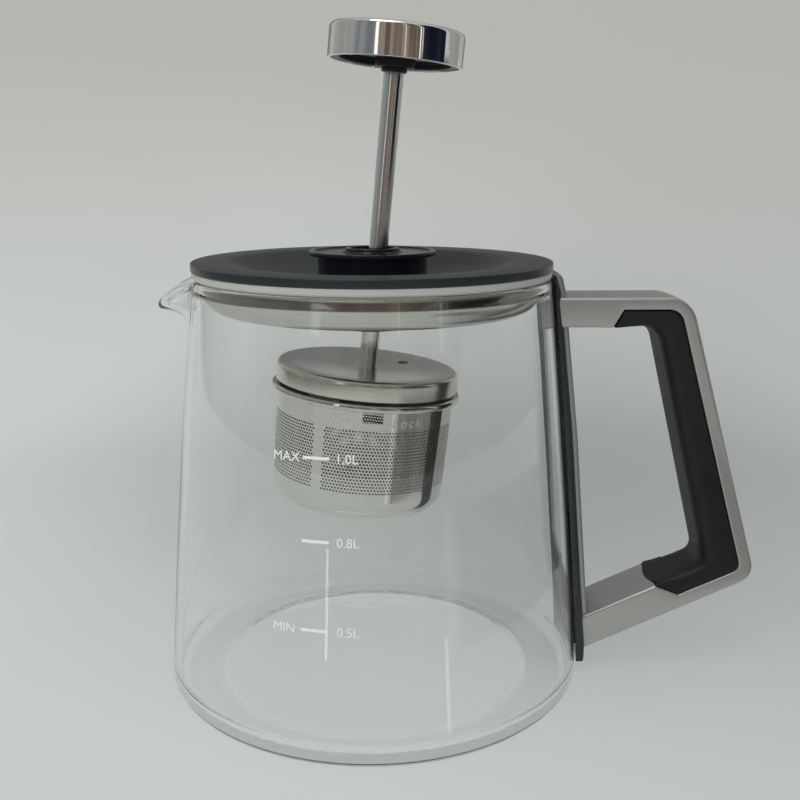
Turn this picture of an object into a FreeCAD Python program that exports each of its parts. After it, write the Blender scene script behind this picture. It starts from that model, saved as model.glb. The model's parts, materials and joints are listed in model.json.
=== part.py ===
import FreeCAD, Part
import math
import os
import types

import Sketcher
from FreeCAD import Placement, Rotation, Vector

# Tea maker jug: a tapered glass jug with a side handle, a lid with a swivelling bush in its
# middle, and a lidded steel basket on a rod that is lifted out of the tea by its knob.
# The origin is the middle of the jug's base. +Z is up, the handle is on +X and the spout
# is on -X. The rod, its knob and the basket lean together about the bush.

DIMENSIONS = [
    # alias, millimetres or degrees, meaning
    ("foot_radius", 61.3, "flat part of the jug's base"),
    ("foot_corner", 6.0, "outer corner between base and wall"),
    ("low_wall_angle", 4.6, "lean of the wall just above the corner, degrees"),
    ("belly_radius", 65.4, "outer radius where the wall starts to bow"),
    ("belly_height", 30.0, "height where the wall starts to bow"),
    ("wall_bow", 3500.0, "radius of the wall's slight bow"),
    ("rim_radius", 56.0, "outer radius at the rim"),
    ("rim_level", 129.8, "height where the rim's round starts"),
    ("rim_round", 1.45, "round of the rim"),
    ("rim_width", 2.8, "thickness of the glass at the rim"),
    ("neck_depth", 3.8, "height of the thicker glass below the rim"),
    ("neck_step", 0.5, "how far the glass thins below that neck"),
    ("glass_wall", 2.3, "thickness of the glass"),
    ("glass_floor", 3.5, "thickness of the floor"),
    ("floor_corner", 4.5, "inner corner between floor and wall"),
    ("floor_inset", 0.8, "flat floor's edge inside the foot's"),
    ("spout_start", 54.6, "distance of the spout's root from the axis"),
    ("spout_reach", 67.2, "distance of the spout's tip from the axis"),
    ("spout_root", 12.0, "radius of the spout's shell at its root"),
    ("spout_tip", 7.2, "radius of the spout's shell at its tip"),
    ("spout_wall", 2.1, "thickness of the spout"),
    ("spout_level", 130.85, "height of the spout's axis"),
    ("spout_inset", 2.5, "start of the spout's channel inside its root"),
    ("spout_flare", 1.0, "widening of the channel at its start"),
    ("spout_edge", 56.0, "distance from the axis where the spout's edge starts to fall"),
    ("spout_fall", 27.2, "fall of the spout's edge, degrees"),
    ("trim_size", 34.0, "side of the blocks that trim the spout"),
    ("trim_overlap", 2.0, "reach of the upper block past the spout's root"),
    ("strip_angle", 20.0, "width of the handle strip round the jug, degrees"),
    ("pad_angle", 18.0, "width of the bonding pad, degrees"),
    ("spine_angle", 15.0, "width of the spine, degrees"),
    ("pad_thickness", 0.5, "bonding pad"),
    ("pad_low", 10.0, "height of the pad's lower end"),
    ("pad_low_radius", 67.0, "outer radius of the glass at the pad's lower end"),
    ("strip_belly", 2.8, "height of the strip over the glass at the belly"),
    ("strip_foot", 3.3, "height of the strip over the glass at the pad's lower end"),
    ("strip_shoulder_radius", 58.1, "outer radius of the strip where its top end rounds"),
    ("strip_shoulder", 124.6, "height where the strip's top end rounds"),
    ("strip_crown", 7.5, "round of the strip's top end"),
    ("strip_top", 130.6, "top of the strip"),
    ("strip_lip", 0.4, "thickness of the strip at its top"),
    ("strip_tongue", 3.4, "lower end of the strip"),
    ("tongue_gap", 1.2, "gap between the strip's lower end and the glass"),
    ("tongue_chamfer", 0.8, "chamfers of the strip's lower end"),
    ("spine_thickness", 1.8, "spine behind the strip"),
    ("spine_thinning", 0.3, "how much thinner the spine is at its shoulder"),
    ("spine_shoulder", 126.0, "height where the spine's top end rounds"),
    ("spine_lip", 0.8, "thickness of the spine at its top"),
    ("spine_top", 132.4, "top of the spine"),
    ("spine_low", 8.5, "lower end of the spine"),
    ("spine_low_radius", 70.4, "outer radius of the strip at the spine's lower end"),
    ("handle_width", 20.0, "width of the frame and the grip"),
    ("arm_root", 54.0, "where the upper arm's outline starts"),
    ("arm_top", 125.3, "top of the upper arm"),
    ("arm_under", 115.8, "underside of the upper arm"),
    ("shoulder_x", 98.6, "outer corner of the frame, top"),
    ("toe_x", 125.6, "outer corner of the frame, bottom"),
    ("toe_level", 32.5, "height of that corner"),
    ("low_root", 62.0, "where the lower arm's outline starts"),
    ("low_under", 4.2, "underside of the lower arm at its root"),
    ("low_over", 16.3, "top of the lower arm at its root"),
    ("grip_end_x", 92.3, "end of the grip on the lower arm's top"),
    ("grip_end_level", 29.8, "height of that end"),
    ("grip_heel_x", 100.1, "lowest corner of the grip"),
    ("grip_heel_level", 26.6, "height of that corner"),
    ("grip_toe_x", 120.2, "outer lower corner of the grip"),
    ("grip_toe_level", 35.4, "height of that corner"),
    ("grip_shoulder_x", 95.3, "outer upper corner of the grip"),
    ("grip_top", 121.3, "top of the grip"),
    ("grip_start_x", 77.4, "end of the grip's top edge"),
    ("grip_nose_x", 74.3, "end of the grip under the upper arm"),
    ("palm_top_x", 88.9, "inner upper corner of the grip"),
    ("palm_low_x", 108.6, "inner lower corner of the grip"),
    ("palm_low", 37.0, "height of that corner"),
    ("shoulder_round", 9.5, "round of the frame's outer top corner"),
    ("toe_round", 6.0, "round of the frame's outer lower corner"),
    ("grip_shoulder_round", 5.0, "round of the grip's outer top corner"),
    ("grip_toe_round", 3.0, "round of the grip's outer lower corner"),
    ("palm_top_round", 7.0, "round of the grip's inner top corner"),
    ("palm_low_round", 4.5, "round of the grip's inner lower corner"),
    ("frame_edge", 1.6, "round of the frame's long edges"),
    ("seat_margin", 2.4, "edges this close to the grip's seat stay sharp"),
    ("root_low", -5.0, "lower end of the cuts that shape the arms' roots"),
    ("root_spread", 0.6, "widening of the root's cut at its lower end"),
    ("root_angle", 90.0, "width of that cut, degrees"),
    ("grip_edge", 4.2, "round of the grip's inner long edges"),
    ("core_top", 117.0, "top of the stiff core in the grip"),
    ("core_low", 42.0, "lower end of the core"),
    ("core_depth", 5.2, "depth of the core"),
    ("core_width", 10.0, "width of the core"),
    ("screw_head", 2.6, "radius of a handle screw's head"),
    ("screw_cone", 1.2, "height of its countersunk head"),
    ("screw_radius", 1.5, "radius of its shaft"),
    ("screw_length", 12.0, "length of its shaft"),
    ("screw_gap", 0.1, "clearance round it in the strip and the spine"),
    ("countersink_rise", 0.4, "height of the countersinks over the heads"),
    ("screw_side", 5.0, "distance of the screws from the middle plane"),
    ("screw_top_x", 57.6, "face of the upper screws' heads"),
    ("screw_top_level", 120.4, "height of the upper screws"),
    ("screw_low_x", 67.7, "face of the lower screws' heads"),
    ("screw_low_level", 13.6, "height of the lower screws"),
    ("lid_radius", 55.9, "outer radius of the lid's cover"),
    ("lid_level", 133.5, "underside of the cover's band"),
    ("lid_top", 136.0, "top of the cover"),
    ("lid_edge", 0.5, "round of the cover's top edge"),
    ("lid_ring", 43.5, "inner radius of the cover's flat ring"),
    ("dish_step", 41.6, "radius where the dish starts to slope"),
    ("dish_step_level", 134.0, "height of that step"),
    ("dish_floor", 28.0, "radius where the dish flattens"),
    ("dish_flat", 17.5, "radius of the flat seat for the hub"),
    ("dish_level", 129.4, "height of the dish's middle"),
    ("dish_rise", 0.9, "rise of the dish's floor to its slope"),
    ("cover_wall", 1.9, "thickness of the cover"),
    ("cover_inset", 0.8, "how far the step under the cover stands out"),
    ("cover_hole", 13.2, "hole in the cover for the hub's neck"),
    ("seal_radius", 55.6, "outer radius of the seal"),
    ("seal_level", 131.2, "underside of the seal"),
    ("seal_step", 54.4, "inner radius of the seal's lip"),
    ("seal_gap", 0.1, "clearance between the seal and the pan"),
    ("pan_flange", 54.3, "outer radius of the pan's flange"),
    ("pan_radius", 52.5, "outer radius of the pan"),
    ("pan_bottom", 121.0, "underside of the pan"),
    ("pan_corner", 5.0, "outer corner of the pan"),
    ("pan_sheet", 0.8, "sheet of the pan"),
    ("pan_hole", 11.8, "hole in the pan for the hub's spigot"),
    ("hub_flange", 19.7, "radius of the hub's flange"),
    ("hub_top", 139.0, "top of the hub"),
    ("hub_flange_height", 1.4, "thickness of the hub's flange"),
    ("hub_body", 17.0, "radius of the hub's body"),
    ("hub_neck", 13.0, "radius of the hub's neck"),
    ("hub_spigot", 11.6, "radius of the hub's threaded spigot"),
    ("hub_end", 115.1, "lower end of the hub"),
    ("hub_edge", 0.5, "round of the hub's flange"),
    ("funnel_radius", 6.75, "mouth of the hub's bore"),
    ("funnel_depth", 2.0, "depth of the bore's countersink"),
    ("bore_top", 5.3, "radius of the bore below the countersink"),
    ("bore_low", 4.3, "radius of the bore above the seat"),
    ("ring_inner", 7.1, "inner radius of the trim ring in the hub"),
    ("ring_outer", 8.4, "its outer radius"),
    ("ring_depth", 0.8, "depth of its groove"),
    ("ring_rise", 0.8, "height of the ring over the hub"),
    ("ring_edge", 0.3, "round of the ring's top"),
    ("nut_radius", 15.5, "radius of the hub's nut and gasket"),
    ("nut_level", 117.5, "underside of the nut"),
    ("gasket_height", 0.7, "gasket under the pan"),
    ("nut_notch", 2.0, "radius of the nut's notches"),
    ("notch_offset", 0.4, "middle of a notch outside the nut's edge"),
    ("notch_count", 6, "notches round the nut"),
    ("pivot_height", 120.0, "middle of the swivelling bush"),
    ("lean_angle", 5.4, "lean of the rod at rest, degrees"),
    ("ball_radius", 7.0, "radius of the bush"),
    ("ball_half", 4.8, "half height of the bush"),
    ("ball_gap", 0.3, "clearance round the bush"),
    ("ball_bore", 3.2, "bore of the bush"),
    ("retainer_radius", 9.5, "radius of the ring that holds the bush in"),
    ("retainer_height", 1.5, "thickness of that ring"),
    ("retainer_top", 6.5, "upper radius of its hole"),
    ("retainer_low", 5.5, "lower radius of its hole"),
    ("groove_radius", 5.35, "radius of the groove in the bush"),
    ("groove_half", 1.1, "half height of that groove"),
    ("grip_ring_middle", 4.15, "radius of the middle of the ring that grips the rod"),
    ("grip_ring_tube", 1.05, "radius of that ring's section"),
    ("rod_radius", 3.0, "radius of the lift rod"),
    ("rod_thread", 2.0, "radius of the rod's threaded end"),
    ("rod_top", 78.0, "upper end of the rod from the pivot"),
    ("rod_pilot", 1.25, "radius of the hole in the rod's upper end"),
    ("pilot_depth", 8.0, "depth of that hole"),
    ("rod_tail", 0.8, "length of the rod below the foot nut"),
    ("knob_radius", 20.3, "radius of the knob"),
    ("knob_low", 74.5, "lower edge of the knob from the pivot"),
    ("knob_top", 84.5, "top of the knob from the pivot"),
    ("knob_edge", 1.4, "round of the knob's top edge"),
    ("knob_shell_wall", 1.0, "thickness of the knob's shell"),
    ("knob_recess", 16.8, "radius of the recess under the knob"),
    ("knob_rim_rise", 0.4, "height of the core's rim over the shell's edge"),
    ("recess_depth", 2.4, "depth of the recess"),
    ("core_hub", 6.0, "radius of the core's hub"),
    ("core_hub_low", 73.2, "lower end of the core's hub"),
    ("collar_radius", 3.9, "radius of the collar under the hub"),
    ("collar_low", 72.0, "lower end of the collar"),
    ("knob_screw_head", 2.8, "radius of the knob screw's head"),
    ("knob_screw_top", 82.4, "top of that head"),
    ("knob_screw_height", 1.8, "height of that head"),
    ("knob_screw_end", 70.6, "end of that screw"),
    ("knob_screw_gap", 0.2, "clearance round that screw in the core"),
    ("lid_plate", -17.0, "top of the basket's lid from the pivot"),
    ("lid_plate_radius", 29.0, "radius of the basket's lid"),
    ("lid_plate_edge", 1.5, "round of its top edge"),
    ("lid_plate_dish", 1.6, "how far its middle is pressed down"),
    ("lid_plate_slope", 24.5, "radius where it starts to slope to its middle"),
    ("lid_plate_seat", 7.0, "radius of its flat middle"),
    ("lid_plate_sheet", 0.7, "its sheet"),
    ("lid_skirt", 5.9, "height of its skirt"),
    ("vent_radius", 1.75, "hole in the basket's lid"),
    ("vent_distance", 16.0, "distance of that hole from the rod"),
    ("vent_azimuth", 43.5, "where it is round the rod, degrees"),
    ("washer_radius", 5.0, "radius of the washer under the basket's lid"),
    ("washer_height", 0.8, "its thickness"),
    ("foot_nut", 3.5, "half width across the foot nut's flats"),
    ("foot_nut_height", 3.2, "height of the foot nut"),
    ("lug_ring_wall", 0.4, "sheet of the lug ring"),
    ("lug_ring_top", 3.3, "top of the lug ring below the lid's top"),
    ("lug_top", 4.7, "top of the lugs below the lid's top"),
    ("lug_low", 5.5, "underside of the lugs below the lid's top"),
    ("lug_inner", 26.9, "inner radius of the lugs"),
    ("lug_weld", 0.2, "how far a lug reaches into the ring"),
    ("lug_angle", 24.0, "width of a lug, degrees"),
    ("lug_count", 3, "lugs round the ring"),
    ("cup_neck", 26.5, "outer radius of the cup's neck"),
    ("cup_neck_top", 2.1, "top of the neck below the lid's top"),
    ("tab_radius", 27.6, "outer radius of the neck's tabs"),
    ("tab_top", 3.3, "top of the tabs below the lid's top"),
    ("tab_low", 4.3, "underside of the tabs below the lid's top"),
    ("cup_flange", 30.25, "radius of the cup's rolled rim"),
    ("cup_flange_top", 6.7, "top of the rolled rim below the lid's top"),
    ("cup_flange_height", 2.2, "height of the rolled rim"),
    ("cup_roll_ease", 0.05, "how much flatter than a half circle its edge is"),
    ("cup_radius", 28.1, "radius of the cup below its rim"),
    ("cup_low_radius", 27.5, "radius of the cup at its corner"),
    ("cup_height", 44.0, "bottom of the cup below the lid's top"),
    ("cup_corner", 5.5, "outer corner of the cup"),
    ("cup_sheet", 0.6, "sheet of the cup"),
    ("window_width", 5.9, "width of a window in the cup"),
    ("window_height", 3.0, "height of a window"),
    ("window_top", 9.4, "top of the windows below the lid's top"),
    ("window_azimuth", -85.0, "where the first window is, degrees"),
    ("cutter_reach", 6.0, "length of the block that cuts a window"),
    ("cut_margin", 0.5, "how far a cutting tool stands past a surface"),
    ("hexagon_half", 30.0, "half of a hexagon side's angle, degrees"),
]

# Tests that pick edges take points closer than this as the same, in millimetres.
NEAR = 0.05
# The middle stretch of the palm's straight run, as shares of its length.
PALM_MIDDLE = (0.2, 0.8)


class Size:
    """A dimension held as a number and as the sheet formula that gives it."""

    def __init__(self, number, formula):
        self.number = number
        self.formula = formula

    def join(self, other, sign, number):
        return Size(number, "(%s %s %s)" % (self.formula, sign, other.formula))

    def __add__(self, other):
        other = as_size(other)
        return self.join(other, "+", self.number + other.number)

    def __sub__(self, other):
        other = as_size(other)
        return self.join(other, "-", self.number - other.number)

    def __mul__(self, other):
        other = as_size(other)
        return self.join(other, "*", self.number * other.number)

    def __truediv__(self, other):
        other = as_size(other)
        return self.join(other, "/", self.number / other.number)

    def __neg__(self):
        return as_size(0) - self


def as_size(value):
    """A plain number as a Size; a Size as it is."""
    if isinstance(value, Size):
        return value
    return Size(value, repr(value))


def sine(angle):
    return Size(math.sin(math.radians(angle.number)), "sin(%s)" % angle.formula)


def cosine(angle):
    return Size(math.cos(math.radians(angle.number)), "cos(%s)" % angle.formula)


doc = FreeCAD.newDocument("tea_maker_jug")
sheet = doc.addObject("Spreadsheet::Sheet", "sheet")
dim = types.SimpleNamespace()
for row, (alias, value, meaning) in enumerate(DIMENSIONS, start=1):
    sheet.set("A%d" % row, alias)
    sheet.set("B%d" % row, str(value))
    sheet.set("C%d" % row, meaning)
    sheet.setAlias("B%d" % row, alias)
    setattr(dim, alias, Size(value, "sheet." + alias))
doc.recompute()

nodes = []


# ---------------------------------------------------------------- modelling helpers

def bind(thing, name, size):
    """Ties a property to the sheet."""
    thing.setExpression(name, as_size(size).formula)


def new_body(label):
    body = doc.addObject("PartDesign::Body", label)
    body.Label = label
    nodes.append(body)
    return body


def lean_with_rod(body):
    """Places a body whose own origin is the pivot and whose own Z is the rod's axis."""
    turn = Rotation(Vector(0, 1, 0), dim.lean_angle.number)
    body.Placement = Placement(Vector(0, 0, dim.pivot_height.number), turn)
    bind(body, "Placement.Base.z", dim.pivot_height)
    bind(body, "Placement.Rotation.Angle", dim.lean_angle)


def arc(x, y, radius, way):
    """A corner whose edge to the next corner is an arc; way is +1 anticlockwise, -1 clockwise."""
    return (x, y, radius, way)


def arc_middle(start, end, radius, way):
    """The point halfway along the minor arc from start to end."""
    chord = end - start
    across = Vector(-chord.y, chord.x, 0).normalize() * way
    half = chord.Length / 2
    sagitta = radius - math.sqrt(max(radius * radius - half * half, 0.0))
    return start + chord * 0.5 - across * sagitta


def outline_sketch(body, role, outline):
    """A closed sketch on one of the body's planes, with every corner tied to the sheet."""
    sketch = body.newObject("Sketcher::SketchObject", body.Label + "_outline")
    plane = [item for item in body.Origin.OriginFeatures if item.Role == role][0]
    sketch.AttachmentSupport = [(plane, "")]
    sketch.MapMode = "FlatFace"
    corners = [Vector(as_size(c[0]).number, as_size(c[1]).number, 0) for c in outline]
    count = len(outline)
    first_end = []
    for index, corner in enumerate(outline):
        start = corners[index]
        end = corners[(index + 1) % count]
        if len(corner) == 2:
            sketch.addGeometry(Part.LineSegment(start, end), False)
            first_end.append(1)
            continue
        radius, way = corner[2], corner[3]
        middle = arc_middle(start, end, as_size(radius).number, way)
        sketch.addGeometry(Part.Arc(start, middle, end), False)
        first_end.append(1 if way > 0 else 2)
    for index in range(count):
        after = (index + 1) % count
        last_end = 3 - first_end[index]
        sketch.addConstraint(
            Sketcher.Constraint("Coincident", index, last_end, after, first_end[after]))
    for index, corner in enumerate(outline):
        for kind, coordinate in (("DistanceX", corner[0]), ("DistanceY", corner[1])):
            size = as_size(coordinate)
            constraint = sketch.addConstraint(
                Sketcher.Constraint(kind, -1, 1, index, first_end[index], size.number))
            bind(sketch, "Constraints[%d]" % constraint, size)
        if len(corner) == 4:
            radius = as_size(corner[2])
            constraint = sketch.addConstraint(
                Sketcher.Constraint("Radius", index, radius.number))
            bind(sketch, "Constraints[%d]" % constraint, radius)
    return sketch


def revolve(body, outline, angle=None, cut=False):
    """Turns an outline of radius and height about Z, or about +X's side by an angle."""
    sketch = outline_sketch(body, "XZ_Plane", outline)
    kind = "Groove" if cut else "Revolution"
    feature = body.newObject("PartDesign::" + kind, body.Label + "_turned")
    feature.Profile = sketch
    feature.ReferenceAxis = (sketch, ["V_Axis"])
    if angle is None:
        feature.Angle = 360
    else:
        feature.Midplane = True
        bind(feature, "Angle", angle)
    return feature


def pad(body, outline, width):
    """Extrudes an outline of X and Z to both sides of the middle plane."""
    sketch = outline_sketch(body, "XZ_Plane", outline)
    feature = body.newObject("PartDesign::Pad", body.Label + "_pad")
    feature.Profile = sketch
    feature.SideType = "Symmetric"
    bind(feature, "Length", width)
    return feature


def primitive(body, kind, sizes, base=(0, 0, 0), axis=(0, 1, 0), angle=0):
    """A PartDesign primitive in a body, with its sizes and its place tied to the sheet."""
    feature = body.newObject("PartDesign::" + kind, body.Label + "_" + kind.lower())
    for name, size in sizes.items():
        bind(feature, name, size)
    place = [as_size(value) for value in base]
    turn = as_size(angle)
    feature.Placement = Placement(
        Vector(*[value.number for value in place]), Rotation(Vector(*axis), turn.number))
    for letter, value in zip("xyz", place):
        bind(feature, "Placement.Base." + letter, value)
    if isinstance(angle, Size):
        bind(feature, "Placement.Rotation.Angle", turn)
    return feature


def round_edges(body, choose, radius):
    """A fillet on the edges of the body's tip that the test picks out."""
    doc.recompute()
    base = body.Tip
    names = []
    for number, edge in enumerate(base.Shape.Edges, start=1):
        if choose(edge):
            names.append("Edge%d" % number)
    feature = body.newObject("PartDesign::Fillet", body.Label + "_round")
    feature.Base = (base, names)
    bind(feature, "Radius", radius)
    return feature


def repeat_round(body, features, count):
    """Repeats features round the body's own Z."""
    axis = [item for item in body.Origin.OriginFeatures if item.Role == "Z_Axis"][0]
    pattern = body.newObject("PartDesign::PolarPattern", body.Label + "_pattern")
    pattern.Originals = features
    pattern.Axis = (axis, [""])
    pattern.Angle = 360
    bind(pattern, "Occurrences", count)
    body.Tip = pattern
    return pattern


def across_edge(x, level):
    """Picks the edge that runs along Y at a point of the outline."""
    x, level = as_size(x).number, as_size(level).number

    def choose(edge):
        box = edge.BoundBox
        near = abs(box.Center.x - x) < NEAR and abs(box.Center.z - level) < NEAR
        return near and box.YLength > NEAR
    return choose


# ---------------------------------------------------------------- the jug

def make_glass_jug():
    body = new_body("glass_jug")
    inner_foot = dim.foot_radius - dim.floor_inset
    inner_rim = dim.rim_radius - dim.rim_width
    outline = [
        (0, 0),
        arc(dim.foot_radius, 0, dim.foot_corner, 1),
        (dim.foot_radius + dim.foot_corner * cosine(dim.low_wall_angle),
         dim.foot_corner + dim.foot_corner * sine(dim.low_wall_angle)),
        arc(dim.belly_radius, dim.belly_height, dim.wall_bow, -1),
        arc(dim.rim_radius, dim.rim_level, dim.rim_round, 1),
        (inner_rim, dim.rim_level),
        arc(inner_rim + dim.neck_step, dim.rim_level - dim.neck_depth, dim.wall_bow, 1),
        (dim.belly_radius - dim.glass_wall, dim.belly_height),
        arc(inner_foot + dim.floor_corner * cosine(dim.low_wall_angle),
            dim.glass_floor + dim.floor_corner + dim.floor_corner * sine(dim.low_wall_angle),
            dim.floor_corner, -1),
        (inner_foot, dim.glass_floor),
        (0, dim.glass_floor),
    ]
    revolve(body, outline)
    length = dim.spout_reach - dim.spout_start
    level = dim.spout_level
    half = dim.trim_size / 2
    sizes = {"Radius1": dim.spout_root, "Radius2": dim.spout_tip, "Height": length}
    primitive(body, "AdditiveCone", sizes, (-dim.spout_start, 0, level), (0, 1, 0), -90)
    block = {"Length": dim.trim_size, "Width": dim.trim_size, "Height": dim.trim_size}
    primitive(body, "SubtractiveBox", block,
              (-dim.spout_start - dim.trim_size + dim.trim_overlap, -half, level))
    primitive(body, "SubtractiveBox", block,
              (-dim.spout_edge - dim.trim_size * cosine(dim.spout_fall), -half,
               level - dim.trim_size * sine(dim.spout_fall)),
              (0, 1, 0), -dim.spout_fall)
    bore = {"Radius1": dim.spout_root - dim.spout_wall + dim.spout_flare,
            "Radius2": dim.spout_tip - dim.spout_wall,
            "Height": length + dim.spout_inset}
    primitive(body, "SubtractiveCone", bore, (-dim.spout_start + dim.spout_inset, 0, level),
              (0, 1, 0), -90)
    return body


def make_bracket_pad():
    body = new_body("bracket_pad")
    outline = [
        (dim.pad_low_radius, dim.pad_low),
        (dim.pad_low_radius + dim.pad_thickness, dim.pad_low),
        arc(dim.belly_radius + dim.pad_thickness, dim.belly_height, dim.wall_bow, -1),
        (dim.rim_radius + dim.pad_thickness, dim.rim_level),
        arc(dim.rim_radius, dim.rim_level, dim.wall_bow, 1),
        (dim.belly_radius, dim.belly_height),
    ]
    revolve(body, outline, dim.pad_angle)
    return body


def strip_outside():
    """The strip's outer surface from its lower end up to its rounded top end."""
    return [
        (dim.pad_low_radius + dim.strip_foot, dim.pad_low),
        arc(dim.belly_radius + dim.strip_belly, dim.belly_height, dim.wall_bow, -1),
        arc(dim.strip_shoulder_radius, dim.strip_shoulder, dim.strip_crown, 1),
        (dim.rim_radius + dim.pad_thickness + dim.strip_lip, dim.strip_top),
    ]


def make_handle_bracket():
    body = new_body("handle_bracket")
    tongue_inner = dim.pad_low_radius + dim.tongue_gap
    tongue_outer = dim.pad_low_radius + dim.strip_foot
    outline = [
        (dim.pad_low_radius + dim.pad_thickness, dim.pad_low),
        (tongue_inner, dim.strip_tongue + dim.tongue_chamfer),
        (tongue_inner + dim.tongue_chamfer, dim.strip_tongue),
        (tongue_outer - dim.tongue_chamfer, dim.strip_tongue),
        (tongue_outer, dim.strip_tongue + dim.tongue_chamfer),
    ] + strip_outside() + [
        (dim.rim_radius + dim.pad_thickness, dim.strip_top),
        arc(dim.rim_radius + dim.pad_thickness, dim.rim_level, dim.wall_bow, 1),
        (dim.belly_radius + dim.pad_thickness, dim.belly_height),
    ]
    revolve(body, outline, dim.strip_angle)
    bore_screws(body, dim.screw_gap)
    return body


def make_handle_spine():
    body = new_body("handle_spine")
    outside = dim.spine_thickness
    cap = dim.rim_radius + dim.pad_thickness + dim.strip_lip
    outline = [
        (dim.spine_low_radius, dim.spine_low),
        (dim.spine_low_radius + outside, dim.spine_low),
        (dim.pad_low_radius + dim.strip_foot + outside, dim.pad_low),
        arc(dim.belly_radius + dim.strip_belly + outside, dim.belly_height, dim.wall_bow, -1),
        arc(dim.strip_shoulder_radius + outside - dim.spine_thinning, dim.spine_shoulder,
            dim.strip_crown, 1),
        (cap + dim.spine_lip, dim.spine_top),
        (cap, dim.spine_top),
        arc(cap, dim.strip_top, dim.strip_crown, -1),
        arc(dim.strip_shoulder_radius, dim.strip_shoulder, dim.wall_bow, 1),
        (dim.belly_radius + dim.strip_belly, dim.belly_height),
        (dim.pad_low_radius + dim.strip_foot, dim.pad_low),
    ]
    revolve(body, outline, dim.spine_angle)
    bore_screws(body, dim.screw_gap)
    return body


def frame_corners():
    """Outer corners of the frame, from the upper arm's root to the lower arm's root."""
    return [
        (dim.arm_root, dim.arm_top),
        (dim.shoulder_x, dim.arm_top),
        (dim.toe_x, dim.toe_level),
        (dim.low_root, dim.low_under),
        (dim.low_root, dim.low_over),
    ]


def grip_seat():
    """Corners that the grip shares with the frame, from the lower arm to the upper arm."""
    return [
        (dim.grip_end_x, dim.grip_end_level),
        (dim.grip_heel_x, dim.grip_heel_level),
        (dim.grip_toe_x, dim.grip_toe_level),
        (dim.grip_shoulder_x, dim.grip_top),
        (dim.grip_start_x, dim.grip_top),
        (dim.grip_nose_x, dim.arm_under),
    ]


def make_handle_frame():
    body = new_body("handle_frame")
    pad(body, frame_corners() + grip_seat() + [(dim.arm_root, dim.arm_under)], dim.handle_width)
    round_edges(body, across_edge(dim.shoulder_x, dim.arm_top), dim.shoulder_round)
    round_edges(body, across_edge(dim.toe_x, dim.toe_level), dim.toe_round)
    round_edges(body, across_edge(dim.grip_shoulder_x, dim.grip_top), dim.grip_shoulder_round)
    round_edges(body, across_edge(dim.grip_toe_x, dim.grip_toe_level), dim.grip_toe_round)
    half = dim.handle_width.number / 2
    seat = [Vector(x.number, 0, z.number) for x, z in grip_seat()]

    def on_seat(point):
        for start, end in zip(seat, seat[1:]):
            along = end - start
            share = max(0.0, min(1.0, (point - start).dot(along) / along.dot(along)))
            if (start + along * share - point).Length < dim.seat_margin.number:
                return True
        return False

    def long_edge(edge):
        box = edge.BoundBox
        side = box.YLength < NEAR and abs(abs(box.Center.y) - half) < NEAR
        if not side:
            return False
        first, last = edge.FirstParameter, edge.LastParameter
        middle = edge.valueAt((first + last) / 2)
        flat = Vector(middle.x, 0, middle.z)
        root = middle.x < dim.low_root.number + NEAR
        return not root and not on_seat(flat)

    round_edges(body, long_edge, dim.frame_edge)
    root = strip_outside()
    revolve(body, [(0, dim.root_low), (root[0][0] + dim.root_spread, dim.root_low)]
            + root + [(0, dim.strip_top)], dim.root_angle, cut=True)
    outside = dim.spine_thickness
    spine = [
        (0, dim.root_low),
        (dim.spine_low_radius + outside, dim.root_low),
        (dim.spine_low_radius + outside, dim.spine_low),
        (dim.pad_low_radius + dim.strip_foot + outside, dim.pad_low),
        arc(dim.belly_radius + dim.strip_belly + outside, dim.belly_height, dim.wall_bow, -1),
        (dim.strip_shoulder_radius + outside - dim.spine_thinning, dim.spine_shoulder),
        (0, dim.spine_shoulder),
    ]
    revolve(body, spine, dim.spine_angle, cut=True)
    bore_screws(body, as_size(0))
    return body


def core_corners():
    """The stiff core's outline, along the grip's outer side."""
    slope = (dim.grip_toe_x - dim.grip_shoulder_x) / (dim.grip_top - dim.grip_toe_level)
    top = dim.grip_shoulder_x + (dim.grip_top - dim.core_top) * slope
    low = dim.grip_shoulder_x + (dim.grip_top - dim.core_low) * slope
    return [
        (top, dim.core_top),
        (top - dim.core_depth, dim.core_top),
        (low - dim.core_depth, dim.core_low),
        (low, dim.core_low),
    ]


def make_handle_grip():
    body = new_body("handle_grip")
    palm = [(dim.palm_top_x, dim.arm_under), (dim.palm_low_x, dim.palm_low)]
    pad(body, grip_seat() + palm, dim.handle_width)
    round_edges(body, across_edge(dim.grip_shoulder_x, dim.grip_top), dim.grip_shoulder_round)
    round_edges(body, across_edge(dim.grip_toe_x, dim.grip_toe_level), dim.grip_toe_round)
    round_edges(body, across_edge(dim.palm_top_x, dim.arm_under), dim.palm_top_round)
    round_edges(body, across_edge(dim.palm_low_x, dim.palm_low), dim.palm_low_round)
    top = Vector(dim.palm_top_x.number, 0, dim.arm_under.number)
    along = Vector(dim.palm_low_x.number, 0, dim.palm_low.number) - top

    def palm_edge(edge):
        middle = edge.valueAt((edge.FirstParameter + edge.LastParameter) / 2)
        flat = Vector(middle.x, 0, middle.z)
        share = (flat - top).dot(along) / along.dot(along)
        near = (top + along * share - flat).Length < NEAR
        middle_stretch = PALM_MIDDLE[0] < share < PALM_MIDDLE[1]
        return near and middle_stretch and edge.BoundBox.YLength < NEAR

    round_edges(body, palm_edge, dim.grip_edge)
    sketch = outline_sketch(body, "XZ_Plane", core_corners())
    pocket = body.newObject("PartDesign::Pocket", "handle_grip_pocket")
    pocket.Profile = sketch
    pocket.SideType = "Symmetric"
    bind(pocket, "Length", dim.core_width)
    return body


def make_grip_core():
    body = new_body("grip_core")
    pad(body, core_corners(), dim.core_width)
    return body


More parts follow.
